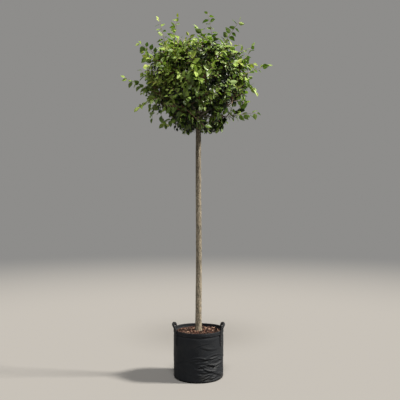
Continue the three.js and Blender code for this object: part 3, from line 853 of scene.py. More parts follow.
def strap_sections(heights):
    """The strap's cross-section at each height: flat on the bag, and above the rim rolled up into
    a grip, an ellipse whose points lie at the same angles round its middle as the flat one's."""
    flat = strap_section()
    half, thickness = STRAP_WIDTH / 2, STRAP_THICKNESS / 2
    angle = np.arctan2((flat[:, 1] - thickness) / thickness, flat[:, 0] / half)
    wide, deep = GRIP_HALF_SIZES
    grip = np.stack([wide * np.cos(angle), deep * np.sin(angle) - GRIP_INSET], axis=-1)
    roll = smooth_step(BAG_HEIGHT + 0.002, BAG_HEIGHT + 0.022, heights)[:, None, None]
    return between(flat[None], grip[None], roll)


def strap_stitch_places(middle):
    """Where a strap's stitches lie: on each leg a box with a cross in it, as lines of stitches
    with their directions."""
    places, along, across, out = strap_frame(middle, 400)
    travelled = distance_along(places)
    half, low, high = SEWN_BOX
    corners = np.array([(-half, low), (-half, high), (half, high), (half, low)])
    found = []
    for first, last in ((0, 1), (1, 2), (2, 3), (3, 0), (0, 2), (3, 1)):
        start, seam = corners[first], corners[last] - corners[first]
        length = np.linalg.norm(seam)
        count = max(2, int(length / BOX_STITCH_PITCH))
        spots = start + ((np.arange(count) + 0.5) / count)[:, None] * seam
        for at in (spots[:, 1], travelled[-1] - spots[:, 1]):
            index = np.clip(np.searchsorted(travelled, at), 0, len(places) - 1)
            place = places[index] + across[index] * spots[:, :1] + out[index] * STRAP_THICKNESS
            heading = across[index] * (seam[0] / length) + along[index] * (seam[1] / length)
            found.append(np.stack([place, unit(heading), out[index]], axis=1))
    return np.concatenate(found)


class PLANTERTREE_OT_straps(bpy.types.Operator):
    """Makes the two strap handles"""

    bl_idname = "planter_tree.straps"
    bl_label = "Make the Straps"

    def execute(self, context):
        webbing = ribbed_webbing("strap_webbing", context.scene.planter_tree_bag.webbing)
        section = strap_section()
        for side, middle in (("right", 0.0), ("left", math.pi)):
            places, _, across, out = strap_frame(middle, STRAP_STEPS)
            sections = strap_sections(places[:, 2])
            rings = (places[:, None] + across[:, None] * sections[..., :1]
                     + out[:, None] * sections[..., 1:])
            vertices, faces = closed_tube(rings)
            grid = np.meshgrid(section[:, 0], np.linspace(0, STRAP_UV_LENGTH, len(places)))
            uv = np.concatenate([np.stack(grid, axis=-1).reshape(-1, 2), np.zeros((2, 2))])
            piece = make_piece(f"strap_{side}", vertices, faces, [webbing], uv)
            seat(piece, "strap_webbing", f"handle_{side}")
        return {"FINISHED"}


class PLANTERTREE_OT_stitching(bpy.types.Operator):
    """Makes the stitches of the hem and of the straps' ends"""

    bl_idname = "planter_tree.stitching"
    bl_label = "Make the Stitching"

    def execute(self, context):
        settings = context.scene.planter_tree_bag
        thread = sewing_thread("thread", settings.webbing)
        count = int(FULL_TURN * BAG_RADIUS / settings.stitch_pitch)
        bearing = (np.arange(count) + 0.5) * FULL_TURN / count
        out = around(1.0, bearing, 0.0)
        along = np.cross(UP, out)
        parts = []
        above_foot, below_rim = HEM_SEAMS
        for level in (BAG_HEIGHT - settings.hem + above_foot, BAG_HEIGHT - below_rim):
            height = level + rim_lift(bearing, level)
            slack = bag_slack(bearing, np.full_like(bearing, level))
            radius = bag_outline(level) + 0.0004 + slack + hem_pillow(level, settings.hem)
            places = out * radius[:, None] + UP * height[:, None]
            parts.append(np.stack([places, along, out], axis=1))
        parts += [strap_stitch_places(middle) for middle in (0.0, math.pi)]
        spots = np.concatenate(parts)
        vertices, faces = stitches_at(*spots.transpose(1, 0, 2), *STITCH_SIZE)
        seat(make_piece("stitching", vertices, faces, [thread]), "strap_webbing")
        return {"FINISHED"}


# ---- the mulch ----


MULCH_CREST = SOIL_TOP + 0.021
MULCH_EDGE = SOIL_TOP + 0.006
CRUMB_SIZE = 0.003
CHIP_CORNERS = 6
FILLING_SIDES = 160


def mulch_height(distance):
    """A low dome: its height falls from the crest by the square of the distance."""
    return between(MULCH_CREST, MULCH_EDGE, (distance / BAG_RADIUS) ** 2)


def filling_rings():
    """Rings of the compost with its crumbly top, from the middle of its underside to the middle of
    its top: the bag's outline moved inwards, and then the dome with noise in cells of 6 mm."""
    bearing = np.linspace(0, FULL_TURN, FILLING_SIDES, endpoint=False)[None]
    distance = np.linspace(BAG_RADIUS - 0.0122, 0.006, 70)[:, None]
    crumbs = lattice_noise(bearing / FULL_TURN * 60, distance * 180, 60, 71)
    top = mulch_height(distance) - 2 * CRUMB_SIZE + CRUMB_SIZE * crumbs
    side = np.linspace(0.012, SOIL_TOP, 14)[:, None]
    side_radius = bag_outline(side) - bag_inset(side) + bag_slack(bearing, side) - 0.002
    stretches = ((side_radius, side), (distance, top))
    return np.concatenate([around(radius, bearing, height) for radius, height in stretches])


def chip_bodies(settings):
    """Vertices and faces of all the chips, one row of vertices for each: a flat body with six
    uneven corners on its upper and lower ring, turned at random and laid on the dome."""
    index = np.arange(settings.chips)
    spread = between(0.018, 0.955, (index + 0.5) / settings.chips)
    distance = np.sqrt(spread) * (BAG_RADIUS - 0.006)
    length = settings.longest * chance(0.3, 1.0, index, 61) * np.where(distance > 0.17, 0.8, 1)
    width = length * chance(0.35, 0.75, index, 62)
    thickness = chance(0.0025, 0.0075, index, 63)
    corner = np.arange(CHIP_CORNERS)
    number = index[:, None] * CHIP_CORNERS + corner
    uneven = chance(0.72, 1.0, number, 64)
    turn = corner * FULL_TURN / CHIP_CORNERS
    rim = np.stack([np.cos(turn) * uneven * length[:, None] / 2,
                    np.sin(turn) * uneven * width[:, None] / 2], axis=-1)
    warp = chance(-0.5, 0.5, number, 65) * thickness[:, None] * 0.5
    low = np.concatenate([rim * 0.9, (warp - thickness[:, None] / 2)[..., None]], axis=-1)
    high = np.concatenate([rim * 0.8, (warp + thickness[:, None] / 2)[..., None]], axis=-1)
    middle = np.stack([low.mean(axis=1), high.mean(axis=1)], axis=1)
    body = np.concatenate([low, high, middle], axis=1)
    for axis, most, trait in ((0, 0.5, 67), (1, 0.5, 68), (2, math.pi, 66)):
        body = turned_about(body, axis, chance(-most, most, index, trait))
    distance = np.minimum(distance, BAG_RADIUS - 0.012 - 0.46 * length)
    lift = mulch_height(distance) + chance(-0.009, 0.003, index, 69)
    place = around(distance, index * GOLDEN_ANGLE, lift)
    ends = [fan(2 * CHIP_CORNERS, 0, CHIP_CORNERS, True),
            fan(2 * CHIP_CORNERS + 1, CHIP_CORNERS, CHIP_CORNERS, False)]
    return body + place[:, None], [ring_faces(2, CHIP_CORNERS), np.concatenate(ends)]


def turned_about(bodies, axis, angle):
    """Bodies turned about an axis by an angle each: the usual sines and cosines."""
    first, second = [(1, 2), (2, 0), (0, 1)][axis]
    cosine, sine = np.cos(angle)[:, None], np.sin(angle)[:, None]
    turned = bodies.copy()
    turned[..., first] = bodies[..., first] * cosine - bodies[..., second] * sine
    turned[..., second] = bodies[..., first] * sine + bodies[..., second] * cosine
    return turned


class PLANTERTREE_OT_mulch(bpy.types.Operator):
    """Makes the bed of mulch and its bark chips in three tints"""

    bl_idname = "planter_tree.mulch"
    bl_label = "Make the Mulch"

    def execute(self, context):
        settings = context.scene.planter_tree_mulch
        soil = moist_compost("compost", settings.soil)
        vertices, faces = closed_tube(filling_rings())
        piece = make_piece("compost_filling", vertices, faces, [soil])
        seat(piece, "compost", "compost", "bark_mulch")
        bodies, faces = chip_bodies(settings)
        tints = (("red", settings.red, 0.0, 0.50), ("brown", settings.brown, 0.50, 0.82),
                 ("pale", settings.pale, 0.82, 1.0))
        tint = chance(0, 1, np.arange(len(bodies)), 70)
        for name, colour, low, high in tints:
            chosen = bodies[(tint >= low) & (tint < high)]
            material = chip_bark(f"chips_{name}", colour, settings.brown)
            copied = copies_of(faces, len(chosen), bodies.shape[1])
            chosen = chosen.reshape(-1, 3)
            piece = make_piece(f"chips_{name}", chosen, copied, [material], smooth=False)
            seat(piece, "bark_chips")
        return {"FINISHED"}


# ---- the stem and the boughs ----


STEM_RADII = (0.0245, 0.0205)
SWAY = 0.003
STEM_SIDES = 64
STEM_ROWS = 600


def stem_radius(z):
    """The stem's radius: a steady taper, a flare at the root, and a round swelling at the graft
    that closes as a dome."""
    taper = between(*STEM_RADII, (z - SOIL_TOP) / (GRAFT_HEIGHT - SOIL_TOP))
    flare = 0.008 * np.exp(-(z - SOIL_TOP) / 0.045)
    swelling = 0.0125 * np.exp(-(((z - GRAFT_HEIGHT) / 0.037) ** 2))
    above = np.clip((z - GRAFT_HEIGHT) / GRAFT_DOME, 0, 1)
    return (taper + flare + swelling) * np.sqrt(np.maximum(1 - above**2.5, 0.0))


def stem_middle(z):
    """The stem's middle line, which sways by up to 3 mm and is true at the foot and the graft."""
    share = np.clip((z - SOIL_TOP) / (GRAFT_HEIGHT - SOIL_TOP), 0, 1)
    sway = SWAY * np.sin(math.pi * share)
    return np.stack([sway * np.sin(5.2 * share), sway * np.cos(4.1 * share + 1)], axis=-1)


def bark_relief(bearing, z, settings):
    """The bark's relief: long furrows from noise in narrow upright cells, finer ones across them,
    and healed pruning scars, each a low mound with a sunken middle and a lip round it."""
    long = lattice_noise(bearing / FULL_TURN * 30, z * 42, 30, 81)
    fine = lattice_noise(bearing / FULL_TURN * 60, z * 160, 60, 82)
    slow = lattice_noise(bearing / FULL_TURN * 5, z * 9, 5, 83)
    relief = settings.relief * (0.55 * long + 0.35 * fine) + 0.0008 * slow
    for index in range(settings.knots):
        level = SOIL_TOP + 0.16 + (index + chance(0, 0.7, index, 84)) * 1.5 / settings.knots
        turned = np.mod(bearing - index * 2.4 + math.pi, FULL_TURN) - math.pi
        away = np.hypot(turned * 0.022, (z - level) * 0.8) / chance(0.006, 0.010, index, 85)
        relief += 0.0026 * np.exp(-(away**2)) - 0.0022 * np.exp(-((away / 0.45) ** 2))
        relief += 0.0007 * np.exp(-(((away - 1.25) / 0.3) ** 2))
    buttress = 0.0022 * np.cos(5 * bearing + 0.8) + 0.0012 * np.cos(3 * bearing)
    return relief + buttress * np.exp(-(z - SOIL_TOP) / 0.035)


class PLANTERTREE_OT_stem(bpy.types.Operator):
    """Makes the stem with its bark's relief, its flare and its graft"""

    bl_idname = "planter_tree.stem"
    bl_label = "Make the Stem"

    def execute(self, context):
        settings = context.scene.planter_tree_wood
        bearing = np.linspace(0, FULL_TURN, STEM_SIDES, endpoint=False)[None]
        rise = np.sin(np.linspace(0, math.pi / 2, 24)[1:-1])
        dome = GRAFT_HEIGHT + GRAFT_DOME * rise
        z = np.concatenate([np.linspace(SOIL_TOP, GRAFT_HEIGHT, STEM_ROWS), dome])[:, None]
        calm = 1 - smooth_step(GRAFT_HEIGHT + 0.015, GRAFT_HEIGHT + 0.03, z)
        radius = stem_radius(z) + bark_relief(bearing, z, settings) * calm
        rings = around(radius, bearing, z)
        rings[..., :2] += stem_middle(z)
        bark = young_bark("bark", settings)
        seat(make_piece("stem_bark", *closed_tube(rings), [bark]), "bark", "trunk")
        return {"FINISHED"}


def crown_points(height, bearing, share):
    """Points of the crown, a ball a little squarer than round: at a height from 1 at the top to -1
    at the bottom, the distance from the middle line is the 2.6th root of 1 less the height to the
    power 2.6. share runs from 0 at the middle to 1 at the surface."""
    level = (1 - np.abs(height) ** CROWN_SQUARENESS) ** (1 / CROWN_SQUARENESS) * CROWN_RADIUS
    away = around(level, bearing, height * CROWN_HALF_HEIGHT)
    return CROWN_MIDDLE + away * np.asarray(share)[..., None]


def spread_points(count, highest, lowest, share, turn=0.0):
    """Points spread evenly over the crown: equal steps down, and the golden angle round."""
    index = np.arange(count)
    height = between(highest, lowest, (index + 0.5) / count)
    return crown_points(height, index * GOLDEN_ANGLE + turn, share)


def crown_share(points):
    """The share of the way from the crown's middle to its surface at which points lie."""
    away = points - CROWN_MIDDLE
    level = np.hypot(away[..., 0], away[..., 1]) / CROWN_RADIUS
    height = np.abs(away[..., 2]) / CROWN_HALF_HEIGHT
    return (level**CROWN_SQUARENESS + height**CROWN_SQUARENESS) ** (1 / CROWN_SQUARENESS)


MASS_SURFACE = spread_points(**MASS_SPREAD, share=np.ones(MASS_COUNT))
MASS_AXIS = unit(MASS_SURFACE - GRAFT)
BOUGH_TIP = between(GRAFT, MASS_SURFACE, BOUGH_SHARE)
STEM_END = between(GRAFT, MASS_SURFACE, STEM_SHARE)


class PLANTERTREE_OT_boughs(bpy.types.Operator):
    """Makes the boughs with their bark's relief"""

    bl_idname = "planter_tree.boughs"
    bl_label = "Make the Boughs"

    def execute(self, context):
        share = np.linspace(0, 1, 40)[None, :, None]
        start = (GRAFT + MASS_AXIS * 0.012)[:, None]
        bow = square_to(MASS_AXIS)[:, None] * BOUGH_BOW
        points = between(start, BOUGH_TIP[:, None], share) + bow * np.sin(math.pi * share) ** 2
        index = np.arange(MASS_COUNT)[:, None]
        knobs = lattice_noise(share[..., 0] * 16 + index * 31, share[..., 0] * 0, 1e6, 86)
        collar = 0.0045 * np.exp(-share[..., 0] / 0.12)
        radii = between(*BOUGH_RADII, share[..., 0]) * (1 + 0.1 * knobs) + collar
        vertices, faces = tubes_along(points, radii, 16)
        piece = make_piece("bough_bark", vertices, faces, [bpy.data.materials["bark"]])
        seat(piece, "bark", *BOUGH_NODES)
        return {"FINISHED"}


# ---- the twigs and the leaves ----


def owners_of(points):
    """The mass whose cone each point lies in: the one whose axis is nearest from the graft."""
    return np.argmax((points - GRAFT) @ MASS_AXIS.T, axis=1)


def bent_lines(start, heading, tip):
    """Twigs as quadratic curves: their start, a bend that lies part of the way along a mix of the
    way to the tip and the way in which they set out, and their tip."""
    away = tip - start
    lead = unit(between(unit(away), heading, ALONG_STEM))
    bend = start + lead * np.linalg.norm(away, axis=-1, keepdims=True) * BEND
    return np.stack([start, bend, tip], axis=1)


def on_lines(lines, share):
    """Places and directions on quadratic curves, at a share of the way that is one number for each
    line or a row of them: (1-t)^2 of the start, 2t(1-t) of the bend and t^2 of the tip."""
    start, bend, tip = (lines[:, i, None] for i in range(3))
    t = share.reshape(len(lines), -1)[..., None]
    places = (1 - t) ** 2 * start + 2 * t * (1 - t) * bend + t**2 * tip
    return places, unit((1 - t) * (bend - start) + t * (tip - bend))


def main_stalks():
    """The twigs and long shoots that the solid model has: their lines, their masses, and True for
    a long shoot."""
    twig, shoot = np.arange(TWIG_SPREAD["count"]), np.arange(SHOOT_SPREAD["count"])
    twigs = spread_points(**TWIG_SPREAD, share=chance(0.9, 1.03, twig, 11))
    angle, reach = np.radians(LEADING_SHOOTS[:, 0]), LEADING_SHOOTS[:, 1] - END_LEAF
    turn = chance(-0.15, 0.15, np.arange(len(angle)), 12)
    leading = CROWN_MIDDLE + around(np.cos(angle), turn, np.sin(angle)) * reach[:, None]
    others = spread_points(**SHOOT_SPREAD, share=chance(1.08, 1.34, shoot, 13))
    others = others[np.abs(others[:, 1]) > LEADING_ZONE]
    tips = np.concatenate([twigs, leading, others])
    number = np.arange(len(tips))
    long = number >= len(twigs)
    owner = owners_of(tips)
    share = np.where(long, chance(0.35, 0.85, number, 21), chance(0.12, 0.92, number, 21))
    start = between(BOUGH_TIP[owner], STEM_END[owner], share[:, None])
    return bent_lines(start, MASS_AXIS[owner], tips), owner, long


FURTHEST_TIP = 1.17
CLUMPS = 16
LONG_SHARE = 1.06  # a twig whose tip lies past this share counts as a long shoot
OTHER_MASS = 10.0  # more than any distance in the crown

# Where the crown's outline falls short of its ball: places across and up from the crown's middle,
# how wide each hollow is, and the share by which it draws twigs in.
HOLLOWS = ((0.16, 0.35, 0.07, 0.14), (0.28, 0.34, 0.09, 0.16), (-0.25, 0.34, 0.10, 0.22),
           (0.34, -0.27, 0.14, 0.26), (0.24, -0.36, 0.09, 0.14), (-0.34, -0.32, 0.11, 0.20))


def crown_rounding(points):
    """The share of its distance from the crown's middle that a twig keeps: less towards the top
    and the bottom, which rounds the crown off, less in the hollows, which are Gaussians, and more
    or less from clump to clump, by noise in cells of about 13 cm."""
    away = points - CROWN_MIDDLE
    bearing = np.mod(np.arctan2(away[:, 1], away[:, 0]) / FULL_TURN, 1)
    level = away[:, 2] / CROWN_HALF_HEIGHT
    keep = 1 - 0.10 * smooth_step(0.45, 0.9, np.abs(level)) - 0.06 * smooth_step(0.4, 0.9, level)
    keep += 0.10 * lattice_noise(bearing * CLUMPS, away[:, 2] / 0.12, CLUMPS, 112)
    for across, up, width, depth in HOLLOWS:
        keep -= depth * np.exp(-((away[:, 0] - across) ** 2 + (away[:, 2] - up) ** 2) / width**2)
    return keep


def finer_twigs(lines, owner, count, nearest, furthest, turn, highest=0.995, lowest=-0.985):
    """Finer twigs: their tips are spread over the crown by the same rule, between two shares of
    the way to its surface, and each leaves the twig of its own mass whose tip lies nearest. A long
    shoot counts as further away, and a little chance keeps one twig from carrying too many."""
    index = np.arange(count)
    share = between(nearest, furthest, chance(0, 1, index, 91) ** 1.7)
    tips = spread_points(count, highest, lowest, share, turn=turn)
    tips = between(CROWN_MIDDLE, tips, crown_rounding(tips)[:, None])
    tips = between(CROWN_MIDDLE, tips, np.minimum(1, FURTHEST_TIP / crown_share(tips))[:, None])
    mine = owners_of(tips)
    far = np.linalg.norm(tips[:, None] - lines[None, :, 2], axis=-1)
    far += np.where(mine[:, None] == owner[None], 0, OTHER_MASS)
    far += np.where(crown_share(lines[:, 2]) > LONG_SHARE, 0.2, 0)
    far += chance(0, 0.05, index[:, None] * 61.0 + np.arange(len(lines)), 113)
    parent = np.argmin(far, axis=1)
    start, heading = on_lines(lines[parent], chance(0.25, 0.8, index, 92))
    return bent_lines(start[:, 0], heading[:, 0], tips)


def leaf_places(lines, spacing, bare):
    """Where leaves stand on each line: from the tip back, a spacing apart, as far as its bare
    share. Gives each leaf's line, its count back from the tip and its share."""
    length = np.linalg.norm(lines[:, 2] - lines[:, 0], axis=-1)
    back = np.arange(MOST_LEAVES)[None] * np.ones((len(lines), 1))
    jitter = chance(-0.25, 0.25, back + 37 * np.arange(len(lines))[:, None], 93)
    share = 0.985 - (back + jitter * (back > 0)) * (spacing / length)[:, None]
    row, column = np.nonzero(share > bare[:, None])
    return row, column, share[row, column]


def leaf_frames(lines, row, back, share):
    """A leaf's root, its direction, the way its upper side faces, and its number. The direction is
    tilted away from the twig, to either side in turn, and droops. The upper side faces up and
    away from the crown's middle, and out beyond the crown also away from the twig."""
    chosen = lines[row]
    root, tangent = (part[:, 0] for part in on_lines(chosen, share))
    number = row * 53.0 + back
    outward = unit(root - CROWN_MIDDLE)
    beyond = smooth_step(0.92, 1.12, crown_share(root))
    wish = unit(outward + UP * 0.45)
    side = unit(np.cross(tangent, wish))
    rank = np.where(back % 2 == 0, 1.0, -1.0)
    turn = rank * chance(0.9, 1.55, number, 94) + chance(-0.5, 0.5, number, 95)
    ahead = unit(np.cross(side, tangent))
    spread = side * np.sin(turn)[:, None] + ahead * np.cos(turn)[:, None]
    tilt = np.where(back == 0, 0.3, chance(0.75, 1.35, number, 96))[:, None]
    droop = UP * (chance(-0.35, 0.5, number, 97) + beyond * chance(0.0, 0.7, number, 111))[:, None]
    direction = tangent * np.cos(tilt) + spread * np.sin(tilt) - droop
    lean = dot(direction, outward) * (chance(-0.35, 0.5, number, 110) * (1 - beyond))[:, None]
    direction = unit(direction - outward * lean)
    scatter = np.stack([chance(-1, 1, number, trait) for trait in (98, 99, 100)], axis=-1)
    raised = UP * between(1.15, 0.45, beyond)[:, None]
    face = unit(between(outward, spread, beyond[:, None] * 0.8) + raised) + 0.68 * scatter
    face = unit(face - direction * dot(face, direction))
    return root, direction, face, number


LEAVES_EACH = 3600
MOST_LEAVES = 22
LEAF_THICKNESS = 0.0006
LEAF_ROWS = np.array([0.10, 0.20, 0.36, 0.56, 0.76, 0.90])
LEAF_HALF_WIDTHS = np.array([0.045, 0.63, 0.97, 0.94, 0.58, 0.22])


def leaf_template():
    """A leaf of 26 vertices: a root, a tip, and six rows of left edge, upper midrib, right edge and
    lower midrib. Each comes as its share along, its share aside, and its side of the sheet. The
    first row is the end of the stalk. Faces are the upper ones first and then the lower ones."""
    rows = len(LEAF_ROWS)
    along = np.concatenate([[0, 1], np.repeat(LEAF_ROWS, 4)])
    aside = np.concatenate([[0, 0], (LEAF_HALF_WIDTHS[:, None] * (-1, 0, 1, 0)).ravel()])
    sheet = np.concatenate([[0, 0], np.tile([0, 1, 0, -1], rows)])
    left, upper, right, lower = (2 + 4 * np.arange(rows) + k for k in range(4))
    last = rows - 1

    def half(edge, middle, reverse):
        quads = np.stack([edge[:-1], middle[:-1], middle[1:], edge[1:]], axis=-1)
        ends = np.array([[0, middle[0], edge[0]], [1, edge[last], middle[last]]])
        return (quads[:, ::-1], ends[:, ::-1]) if reverse else (quads, ends)

    sides = [half(left, upper, False), half(right, upper, True),
             half(left, lower, True), half(right, lower, False)]
    quads = np.concatenate([side[0] for side in sides])
    ends = np.concatenate([side[1] for side in sides])
    quad_kinds = np.repeat([0, 0, 1, 1], rows - 1)
    end_kinds = np.repeat([0, 0, 1, 1], 2)
    return along, aside, sheet, [quads, ends], [quad_kinds, end_kinds]


def leaf_vertices(frames, length, width):
    """The vertices of all leaves, one row for each. A leaf is folded up a little along its midrib,
    and curls down towards its tip by the square of the way along it."""
    root, direction, face, number = frames
    along, aside, sheet, _, _ = leaf_template()
    across = np.cross(direction, face)
    fold = chance(0.10, 0.42, number, 101)[:, None]
    curl = chance(-0.02, 0.26, number, 102)[:, None]
    wave = chance(-0.10, 0.10, number, 103)[:, None] * np.sin(5 * along)
    thickness = LEAF_THICKNESS * (1 - 0.5 * along)
    half = aside * (width / 2)[:, None]
    lift = np.abs(half) * fold - curl * along**2 * length[:, None] + wave * half
    lift = lift + sheet * thickness / 2
    places = root[:, None] + direction[:, None] * (along * length[:, None])[..., None]
    return places + across[:, None] * half[..., None] + face[:, None] * lift[..., None]


def leaf_growth(row, back, number, long, settings):
    """The leaves' lengths: smaller for the last few towards a tip, and larger on long shoots than
    on the short twigs of the crown."""
    opening = np.where(long[row], 0.72 + 0.15 * back, 0.66 + 0.16 * back)
    vigour = np.where(long[row], 1.08, chance(0.54, 0.90, row, 104))
    size = np.minimum(opening, 1.0) * chance(0.74, 1.08, number, 105) * vigour
    return settings.length * size


# Flushes of new growth, as places from the crown's middle, and how far each one spreads.
FLUSHES = np.array([(-0.20, -0.26, 0.16), (-0.03, -0.37, -0.05), (0.02, -0.10, 0.36),
                    (0.20, 0.24, 0.18), (-0.30, 0.16, -0.04), (-0.28, -0.24, -0.02)])
FLUSH_RADIUS = 0.13

# Thresholds on a score for each twig, for its leaves to be mature, fresh and young: the score mixes
# chance, new growth, and painted light and shade.
PAINTED_SHADE_AND_GROWTH_STEPS = (0.33, 0.80, 1.58)


def leaf_kinds(lines, row, back, long):
    """Each leaf's kind, from 0 for deep green to 3 for young: dealt by twig, with painted shade
    that makes it darker inside the crown and below its middle and painted light that makes it
    lighter on top, lighter in a few flushes of new growth, and youngest at the tips."""
    tip = lines[:, 2]
    index = np.arange(len(lines))
    height = (tip[:, 2] - CROWN_MIDDLE[2]) / CROWN_HALF_HEIGHT
    away = np.linalg.norm(tip[:, None] - CROWN_MIDDLE - FLUSHES[None], axis=-1)
    flush = np.exp(-((away / FLUSH_RADIUS) ** 2)).sum(axis=1)
    share = crown_share(tip)
    # Painted shade and light: the score falls inside the crown and below its middle, and rises on
    # top and at the crown's surface.
    light = chance(-0.12, 1.14, index, 106) + height * np.where(height < 0, 0.42, 0.14)
    light += 0.72 * flush + 1.4 * np.minimum(share - 0.95, 0.1)
    kind = np.digitize(light, PAINTED_SHADE_AND_GROWTH_STEPS)
    kind = np.maximum(kind, np.where(long, 1, 0))[row]
    fresh_tip = (back < 2) & (chance(0, 1, row, 107) < np.where(long[row], 0.8, 0.18))
    return np.where(fresh_tip, np.minimum(kind + 1, 3), kind)


# How far from the stem's middle line leaves keep, and up to how far over the graft.
GRAFT_CLEARANCE = (0.04, 0.03)


def beside_stem(places):
    """True for places that are too near the stem, up to just over the graft, to hold a leaf."""
    middle = stem_middle(places[..., 2])
    away = np.hypot(places[..., 0] - middle[..., 0], places[..., 1] - middle[..., 1])
    return (places[..., 2] < GRAFT_HEIGHT + GRAFT_CLEARANCE[1]) & (away < GRAFT_CLEARANCE[0])


# By a twig's order: its radius at its base, and the share of its length that bears no leaves.
TWIG_RADII = np.array([0.0029, 0.0021, 0.0015])
BARE_SHARES = np.array([0.32, 0.25, 0.12])
TWIG_TIP_RADIUS = 0.0007

# The sets of finer twigs: the setting with their number, the shares of the way to the crown's
# surface that their tips lie between, the turn of their spread, and, where it isn't the whole
# crown, the spread's first and last height.
FINER_SETS = (
    ("fine_twigs", 0.70, 1.10, 0.35),
    ("inner_twigs", 0.42, 0.76, 1.15),
    ("skirt_twigs", 1.12, 1.34, 0.9, -0.95, -0.9998),
    ("top_twigs", 0.94, 1.06, 1.7, 0.9995, 0.93),
    ("sprays", 1.06, 1.32, 2.3),
)


def all_stalks(settings):
    """Every twig of the crown: its line, its order, and True for a long shoot. The order is 0 for
    the twigs and shoots that the solid model has, 1 for the side twigs that leave them, and 2 for
    the finer twigs that leave either."""
    main, owner, long = main_stalks()
    side = finer_twigs(main, owner, settings.side_twigs, 0.58, 0.96, 0.8)
    carriers = np.concatenate([main, side])
    owners = np.concatenate([owner, owners_of(side[:, 2])])
    finer = [finer_twigs(carriers, owners, getattr(settings, number), *spread)
             for number, *spread in FINER_SETS]
    every = np.concatenate([carriers, *finer])
    order = np.repeat([0, 1, 2], [len(main), len(side), len(every) - len(carriers)])
    stands_out = np.pad(long, (0, len(every) - len(main)))
    stands_out[-settings.sprays:] = True
    return every, order, stands_out


def kinked_twigs(lines, steps, base):
    """Places along each twig, which kinks from side to side a little, and its radius there, which
    tapers evenly from its base to its tip."""
    share = np.linspace(0, 1, steps)
    places, _ = on_lines(lines, np.broadcast_to(share, (len(lines), steps)))
    kink = np.where(np.arange(steps) % 2 == 0, 1, -1) * 0.0012 * np.sin(math.pi * share)
    kink = kink * chance(0.3, 1, np.arange(len(lines))[:, None], 108)
    side = square_to(unit(lines[:, 2] - lines[:, 0]))
    return places + side[:, None] * kink[..., None], between(base, TWIG_TIP_RADIUS, share)


class PLANTERTREE_OT_twigs(bpy.types.Operator):
    """Makes the stems of the masses, the twigs, the long shoots and the finer twigs"""

    bl_idname = "planter_tree.twigs"
    bl_label = "Make the Twigs"

    def execute(self, context):
        lines, order, _ = all_stalks(context.scene.planter_tree_leaves)
        material = twig_bark("twig_bark", context.scene.planter_tree_wood.twig)
        base = TWIG_RADII[order][:, None]
        points, radii = kinked_twigs(lines[order < 2], 12, base[order < 2])
        share = np.linspace(-0.02, 1, 12)
        stems = between(BOUGH_TIP[:, None], STEM_END[:, None], share[None, :, None])
        taper = between(BOUGH_RADII[1], STEM_TIP_RADIUS, share)
        points = np.concatenate([points, stems])
        radii = np.concatenate([radii, np.broadcast_to(taper, stems.shape[:2])])
        seat(make_piece("twigs", *tubes_along(points, radii, 6), [material]), "bark")
        fine = tubes_along(*kinked_twigs(lines[order == 2], 6, base[order == 2]), 4)
        seat(make_piece("fine_twigs", *fine, [material]), "bark")
        return {"FINISHED"}


# The kinds of leaf: the setting with the colour, the roughness and the waxy coat.
LEAF_LOOKS = (("deep", 0.40, 0.12), ("mature", 0.35, 0.20), ("fresh", 0.44, 0.10),
              ("young", 0.50, 0.0))


class PLANTERTREE_OT_leaves(bpy.types.Operator):
    """Makes the leaves in four greens, each with its paler underside"""

    bl_idname = "planter_tree.leaves"
    bl_label = "Make the Leaves"

    def execute(self, context):
        settings = context.scene.planter_tree_leaves
        lines, order, long = all_stalks(settings)
        spacing = np.where(long, settings.shoot_spacing, settings.spacing)
        row, back, share = leaf_places(lines, spacing, BARE_SHARES[order])
        frames = leaf_frames(lines, row, back, share)
        length = leaf_growth(row, back, frames[3], long, settings)
        width = length * settings.width / settings.length * chance(0.86, 1.12, frames[3], 109)
        vertices = leaf_vertices(frames, length, width)
        clear = ~beside_stem(vertices).any(axis=1)
        vertices = vertices[clear]
        kind = leaf_kinds(lines, row, back, long)[clear]
        self.make_kinds(vertices, kind, settings)
        return {"FINISHED"}

    def make_kinds(self, vertices, kind, settings):
        """One piece for each kind of leaf, or more where one would hold too many triangles."""
        along, aside, _, faces, face_kinds = leaf_template()
        uv = np.stack([aside / 2, along], axis=-1)
        for number, (name, roughness, coat) in enumerate(LEAF_LOOKS):
            colour = getattr(settings, name)
            chosen = vertices[kind == number]
            pale = shade(colour, 1.9, (0.02, 0.02, 0.01))
            under = shade(colour, (1.35, 1.25, 1.4), (0.012, 0.014, 0.010))
            glow = tuple(np.minimum(shade(colour, (3.4, 3.2, 2.2), (0.03, 0.06, 0.0)), 0.9))
            skins = [leaf_skin(f"leaf_{name}", colour, pale, glow, roughness, coat),
                     leaf_skin(f"leaf_{name}_under", under, pale, glow, 0.55, 0.0)]
            parts = math.ceil(len(chosen) / LEAVES_EACH)
            for part, bodies in enumerate(np.array_split(chosen, parts)):
                copied = copies_of(faces, len(bodies), vertices.shape[1])
                kinds = np.concatenate([np.tile(sides, len(bodies)) for sides in face_kinds])
                piece = make_piece(
                    f"leaves_{name}_{part + 1}", bodies.reshape(-1, 3), copied, skins,
                    np.tile(uv, (len(bodies), 1)), kinds)
                mark_leaf_creases(piece, vertices.shape[1])
                seat(piece, "leaves", *(FOLIAGE_NODES if number + part == 0 else ()))


def mark_leaf_creases(piece, vertices_each):
    """A leaf's edge and its midrib are sharp: the edges that join two vertices of the same
    kind, with the root and the tip counted as edge and midrib both."""
    mesh = piece.data
    ends = np.empty(len(mesh.edges) * 2, np.int32)
    mesh.edges.foreach_get("vertices", ends)
    place = ends.reshape(-1, 2) % vertices_each
    column = np.where(place < 2, -1, (place - 2) % 4)
    sharp = (column[:, 0] == column[:, 1]) | (column.min(axis=1) < 0)
    mesh.attributes.new("sharp_edge", "BOOLEAN", "EDGE").data.foreach_set("value", sharp)


# ---- the stage ----


FLOOR_RADIUS = 60
FLOOR_SIDES = 96
SENSOR_WIDTH = 36
CAMERA_ASIDE = 0.012
CAMERA_TILT = 89.33

